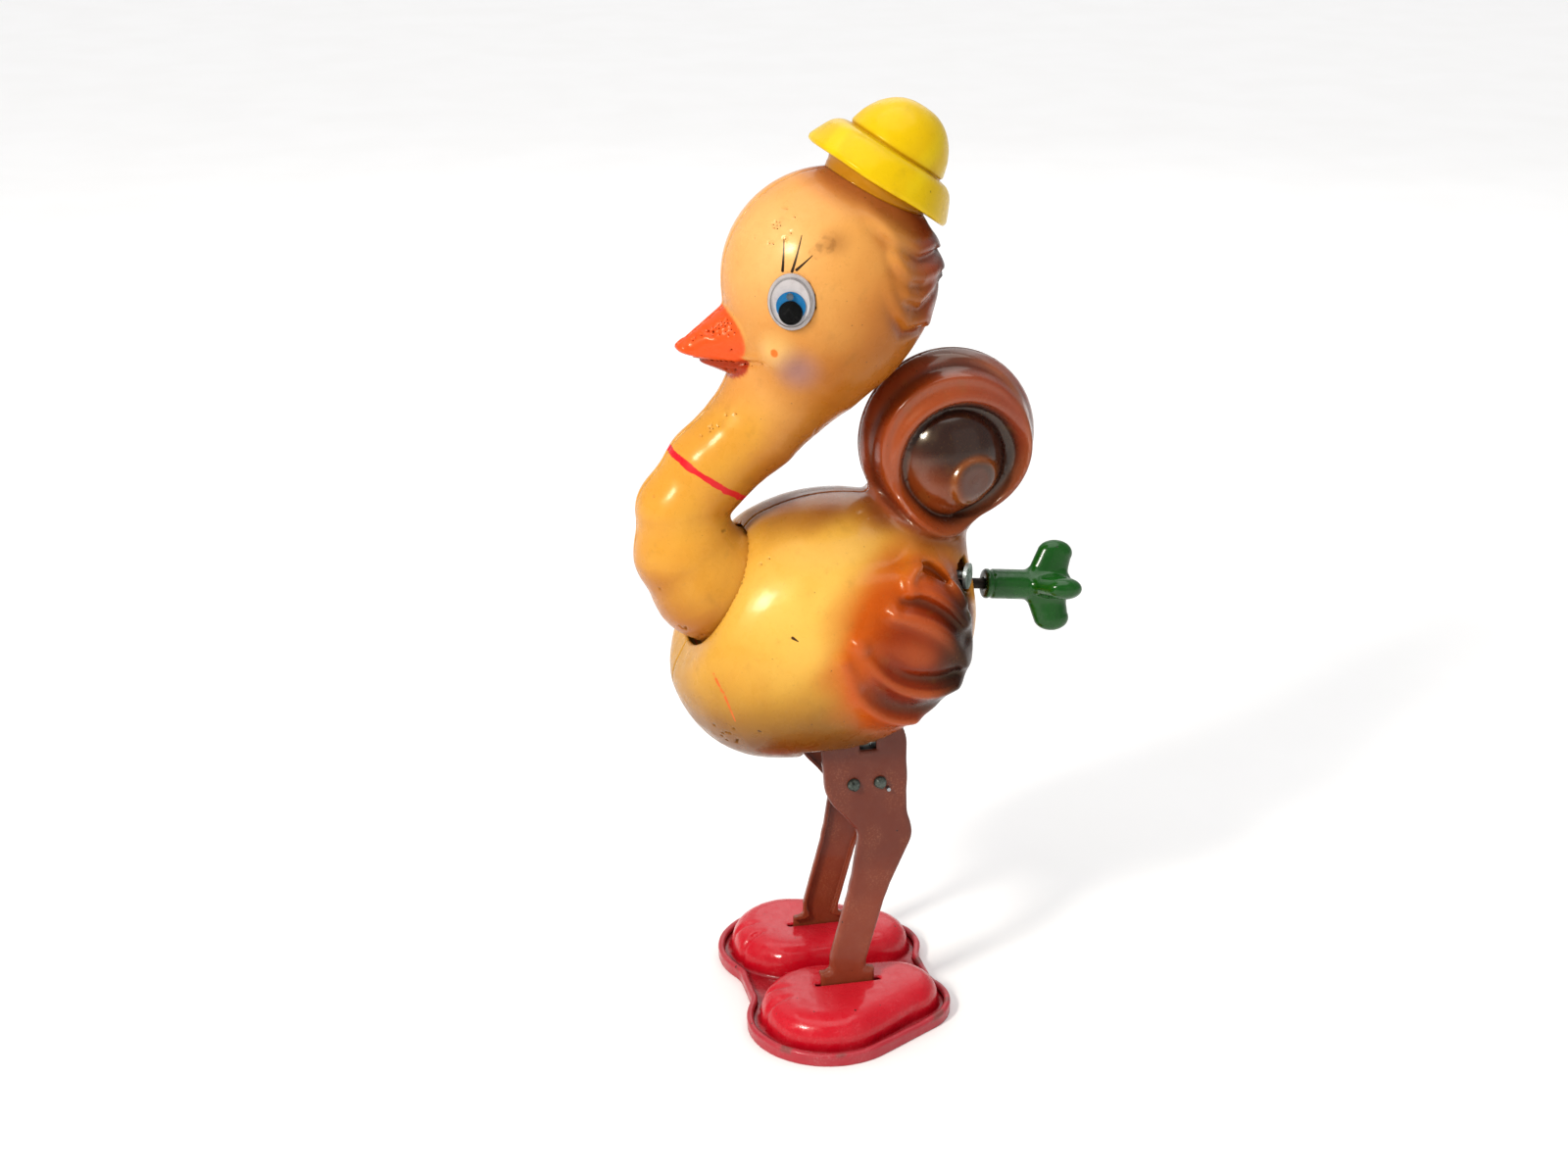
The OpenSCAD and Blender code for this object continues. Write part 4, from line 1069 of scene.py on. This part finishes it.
def metal(name, code, dark, rough=(0.28, 0.55), grain=None, rust=0.25):
    """Bare worked metal with scratches, darker stains and a slight unevenness."""
    n = Nodes(name)
    stain = n.cloud(2.5, 5, 0.42, 0.70, 0.0, 1.0)
    colour = n.mix(stain, code, dark)
    spots = n.cloud(0.8, 4, 0.62, 0.72, 0.0, rust)
    colour = n.mix(spots, colour, "#5A3A24")
    n.bump((n.noise(1.4, 3), 0.05), (n.noise(0.5, 2, grain), 0.02))
    return n.shade(Base_Color=colour, Metallic=0.9, Roughness=n.cloud(1.2, 4, 0.3, 0.7, *rough))


def glossy(name, code, dark, gloss=0.3):
    """Small smooth printed or moulded pieces, faintly dusty."""
    n = Nodes(name)
    colour = n.mix(n.cloud(2.0, 4, 0.45, 0.75, 0.0, 0.5), code, dark)
    n.bump((n.noise(2.5, 2), 0.02), (n.noise(0.4, 2), 0.004))
    return n.shade(Base_Color=colour, Specular_IOR_Level=gloss,
                   Roughness=n.cloud(1.0, 4, 0.3, 0.7, 0.12, 0.3))


def clear_plastic():
    """Thin clear film: it lets the eye through and only adds a glint."""
    n = Nodes("clear_cover")
    tree = n.tree
    film = n.add("BsdfTransparent", Color=(0.97, 0.975, 0.98, 1))
    n.shade(Base_Color=(0.02, 0.02, 0.02, 1), Roughness=n.cloud(1.5, 4, 0.4, 0.75, 0.04, 0.2))
    n.bump((n.noise(3.0, 2), 0.03), (n.noise(0.6, 3), 0.006))
    rim = n.add("LayerWeight", Blend=0.22)
    scuffs = n.cloud(0.9, 4, 0.58, 0.72, 0.04, 0.07)
    share = n.math("ADD", n.math("MULTIPLY", rim.outputs["Fresnel"], 0.50), scuffs, clamp=True)
    both = n.add("MixShader", Fac=share)
    tree.links.new(film.outputs[0], both.inputs[1])
    tree.links.new(n.shader.outputs[0], both.inputs[2])
    tree.links.new(both.outputs[0], tree.nodes["Material Output"].inputs["Surface"])
    return n.material


# ---------- the pieces ----------

def shell_pair(name, field, paint, lo, hi, step, material, body, node):
    """A left half and its mirror image, each standing for its own CAD node."""
    verts, quads = sculpted(field, lo, hi, step)
    verts[:, 0] = np.maximum(verts[:, 0], 0)
    colours = paint(verts)
    for side in ("left", "right"):
        v, f = (verts, quads) if side == "left" else mirrored(verts, quads)
        obj = make_object(f"{name}_{side}", v, f, colours)
        finish_piece(obj, material, body, [f"{node}_{side}"])


def single(name, field, paint, lo, hi, step, material, body, node):
    verts, quads = sculpted(field, lo, hi, step)
    obj = make_object(name, verts, quads, paint(verts))
    finish_piece(obj, material, body, [node])


RED_TIN = enamel("enamel_red", "#DC5058", 0.30, "#3A1A14")
RIM_TIN = enamel("enamel_rim", "#C08080", 0.35, "#2C1A14", (0.28, 0.5))
LEG_TIN = enamel("enamel_brown", "#A86444", 0.30, "#2E1A14", (0.34, 0.56))
KEY_GREEN = enamel("enamel_green", "#1E5A1A", 0.20, "#2A2E22", (0.16, 0.34))

shell_pair("body_moulding", body_half, body_paint, (-1.2, -42, 60), (34, 48, 162), 0.6,
           body_material(), "body", "body_shell")
shell_pair("head_moulding", head_half, head_paint, (-1.2, -52, 88), (24, 26, 204), 0.6,
           head_material(), "head", "head_shell")
single("shoe_pressing", stamping, shoe_paint, (-38, -28, 0), (38, 28, 11), 0.5,
       RED_TIN, "stand", "shoe_stamping")
single("crimped_tray", tray, tray_paint, (-38, -28, -0.6), (38, 28, 4), 0.4,
       RIM_TIN, "stand", "base_tray")
shell_pair("leg_pressing", leg_solid, leg_paint, (12.4, -9, 3.4), (16.2, 16, 80), 0.3,
           LEG_TIN, "stand", "leg")
single("key_casting", key_solid, key_paint, (-12, 33, 87), (12, 58, 114), 0.35,
       KEY_GREEN, "winding", "winding_key")
make_hat(hat_material())

DARK_STEEL = metal("steel_dark", "#59605A", "#2C302C", (0.4, 0.65), rust=0.35)
BLACK_STEEL = metal("steel_black", "#2C2622", "#14100E", (0.4, 0.6), rust=0.35)
make_pin("hip_rivet", "hip_pin", 0.0, DARK_STEEL)
make_pin("stop_rivet", "stop_pin", STOP_Y, DARK_STEEL)
COVER = clear_plastic()
make_cover("left", COVER)
make_cover("right", COVER)

STEEL = metal("steel", "#B8C0BC", "#7E8682", (0.25, 0.5), grain=(1, 6, 1))
CAD_FINISHES = [
    (STEEL, ["front_plate", "rear_plate", "frame_pillars", "hip_cheek_left", "hip_cheek_right",
             "neck_bracket", "ratchet_click", "shell_studs", "hop_lever", "hop_cam"]),
    (metal("eye_pin_steel", "#6E7880", "#3C444A"), ["eye_pin_left", "eye_pin_right"]),
    (metal("spring_steel", "#A4AAAE", "#6A6E74", (0.22, 0.4)), ["mainspring", "return_spring"]),
    (BLACK_STEEL, ["winding_arbor", "second_arbor", "cam_arbor", "neck_pin"]),
    (metal("brass", "#C9A04E", "#8A6A2E", (0.25, 0.45), rust=0.15),
     ["great_wheel", "ratchet_wheel", "second_wheel", "second_pinion", "cam_pinion"]),
    (glossy("eye_white", "#DAD2D0", "#B8ACAC"), ["eye_plate_left", "eye_plate_right"]),
    (glossy("iris_blue", "#1478B4", "#0E5C8E", 0.15), ["iris_left", "iris_right"]),
    (glossy("pupil_black", "#020202", "#060606", 0.05), ["pupil_left", "pupil_right"])]
WORN_EDGES = {  # width in millimetres, and the CAD pieces that get it
    0.15: ["shell_studs", "winding_arbor", "front_plate", "rear_plate", "hip_cheek_left", "hip_cheek_right",
           "hop_lever"],
    0.12: ["eye_plate_left", "eye_plate_right"],
    0.08: ["eye_pin_left", "eye_pin_right"],
    0.06: ["iris_left", "iris_right", "pupil_left", "pupil_right"]}
for material, nodes in CAD_FINISHES:
    for node in nodes:
        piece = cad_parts[node]
        piece.data.materials.clear()
        piece.data.materials.append(material)
for width, nodes in WORN_EDGES.items():
    for node in nodes:
        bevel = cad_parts[node].modifiers.new("worn_edges", "BEVEL")
        bevel.width = width * MM
        bevel.segments = 2
        bevel.limit_method = "ANGLE"


# ---------- stage, camera and light ----------

def pale_stage():
    n = Nodes("stage_pale")
    cloud = n.cloud(60, 3, 0.3, 0.7, 0.0, 0.15)
    return n.shade(Base_Color=n.mix(cloud, "#F4F3F1", "#FFFFFF"), Roughness=0.7)


def stage_floor():
    """A pale floor that bends up into a backdrop behind the toy; sizes are in metres."""
    reach, rise, bend = 9.0, 6.0, 2.0
    back = [(-reach, 0.0)] + [(reach - bend + bend * math.sin(a), bend - bend * math.cos(a))
                              for a in np.linspace(0, math.pi / 2, 12)] + [(reach, rise)]
    verts = [(-d, side * reach, h) for d, h in back for side in (-1, 1)]
    faces = [(2 * i, 2 * i + 1, 2 * i + 3, 2 * i + 2) for i in range(len(back) - 1)]
    mesh = smooth_mesh("stage_floor", verts, faces)
    mesh.materials.append(pale_stage())
    floor = add_object("stage_floor", mesh)


def area_light(name, place, size, watts, tint=(1, 1, 1), aim=(0, 0, 0.11)):
    light = bpy.data.lights.new(name, "AREA")
    light.shape = "RECTANGLE"
    light.size, light.size_y = size
    light.energy = watts
    light.color = tint
    obj = add_object(name, light)
    obj.location = place
    obj.rotation_euler = (Vector(aim) - Vector(place)).to_track_quat("-Z", "Y").to_euler()


TOY_HEIGHT = 0.216
CAMERA_REACH, CAMERA_RISE = 2.4 * TOY_HEIGHT, 1.385 * TOY_HEIGHT
CAMERA_AZIMUTH = math.radians(76)
CAMERA_TURN = math.radians(1.40)
CAMERA_PITCH = math.radians(20.63)
camera = bpy.data.cameras.new("camera")
camera.sensor_width = 36
camera.lens = 55.24
camera.clip_start, camera.clip_end = 0.01, 20
viewer = add_object("camera", camera)
viewer.location = (CAMERA_REACH * math.sin(CAMERA_AZIMUTH),
                   -CAMERA_REACH * math.cos(CAMERA_AZIMUTH) - MIDDLE_Y * MM, CAMERA_RISE)
viewer.rotation_euler = (math.pi / 2 - CAMERA_PITCH, 0, CAMERA_AZIMUTH + CAMERA_TURN)
scene.camera = viewer

scene.view_settings.view_transform = "Standard"
stage_floor()
area_light("key_light", (0.50, -0.70, 0.70), (0.17, 0.17), 8.0, (1.0, 0.95, 0.88))
area_light("fill_light", (0.9, 0.5, 0.45), (0.8, 0.8), 0.6, (1.0, 0.95, 0.90))
area_light("top_light", (0.0, 0.1, 1.0), (0.7, 0.7), 0.6)
area_light("back_light", (-0.8, 0.3, 0.6), (0.6, 0.6), 0.8)
area_light("floor_light", (-2.0, 0.4, 1.8), (3.0, 4.0), 12, aim=(-2.0, 0.4, 0))
sun = bpy.data.lights.new("soft_sun", "SUN")
sun.energy = 1.4
sun.angle = math.radians(60)
add_object("soft_sun", sun)
world = bpy.data.worlds.new("world")
world.use_nodes = True
world.node_tree.nodes["Background"].inputs["Color"].default_value = (0.95, 0.96, 1.0, 1)
world.node_tree.nodes["Background"].inputs["Strength"].default_value = 0.42
scene.world = world
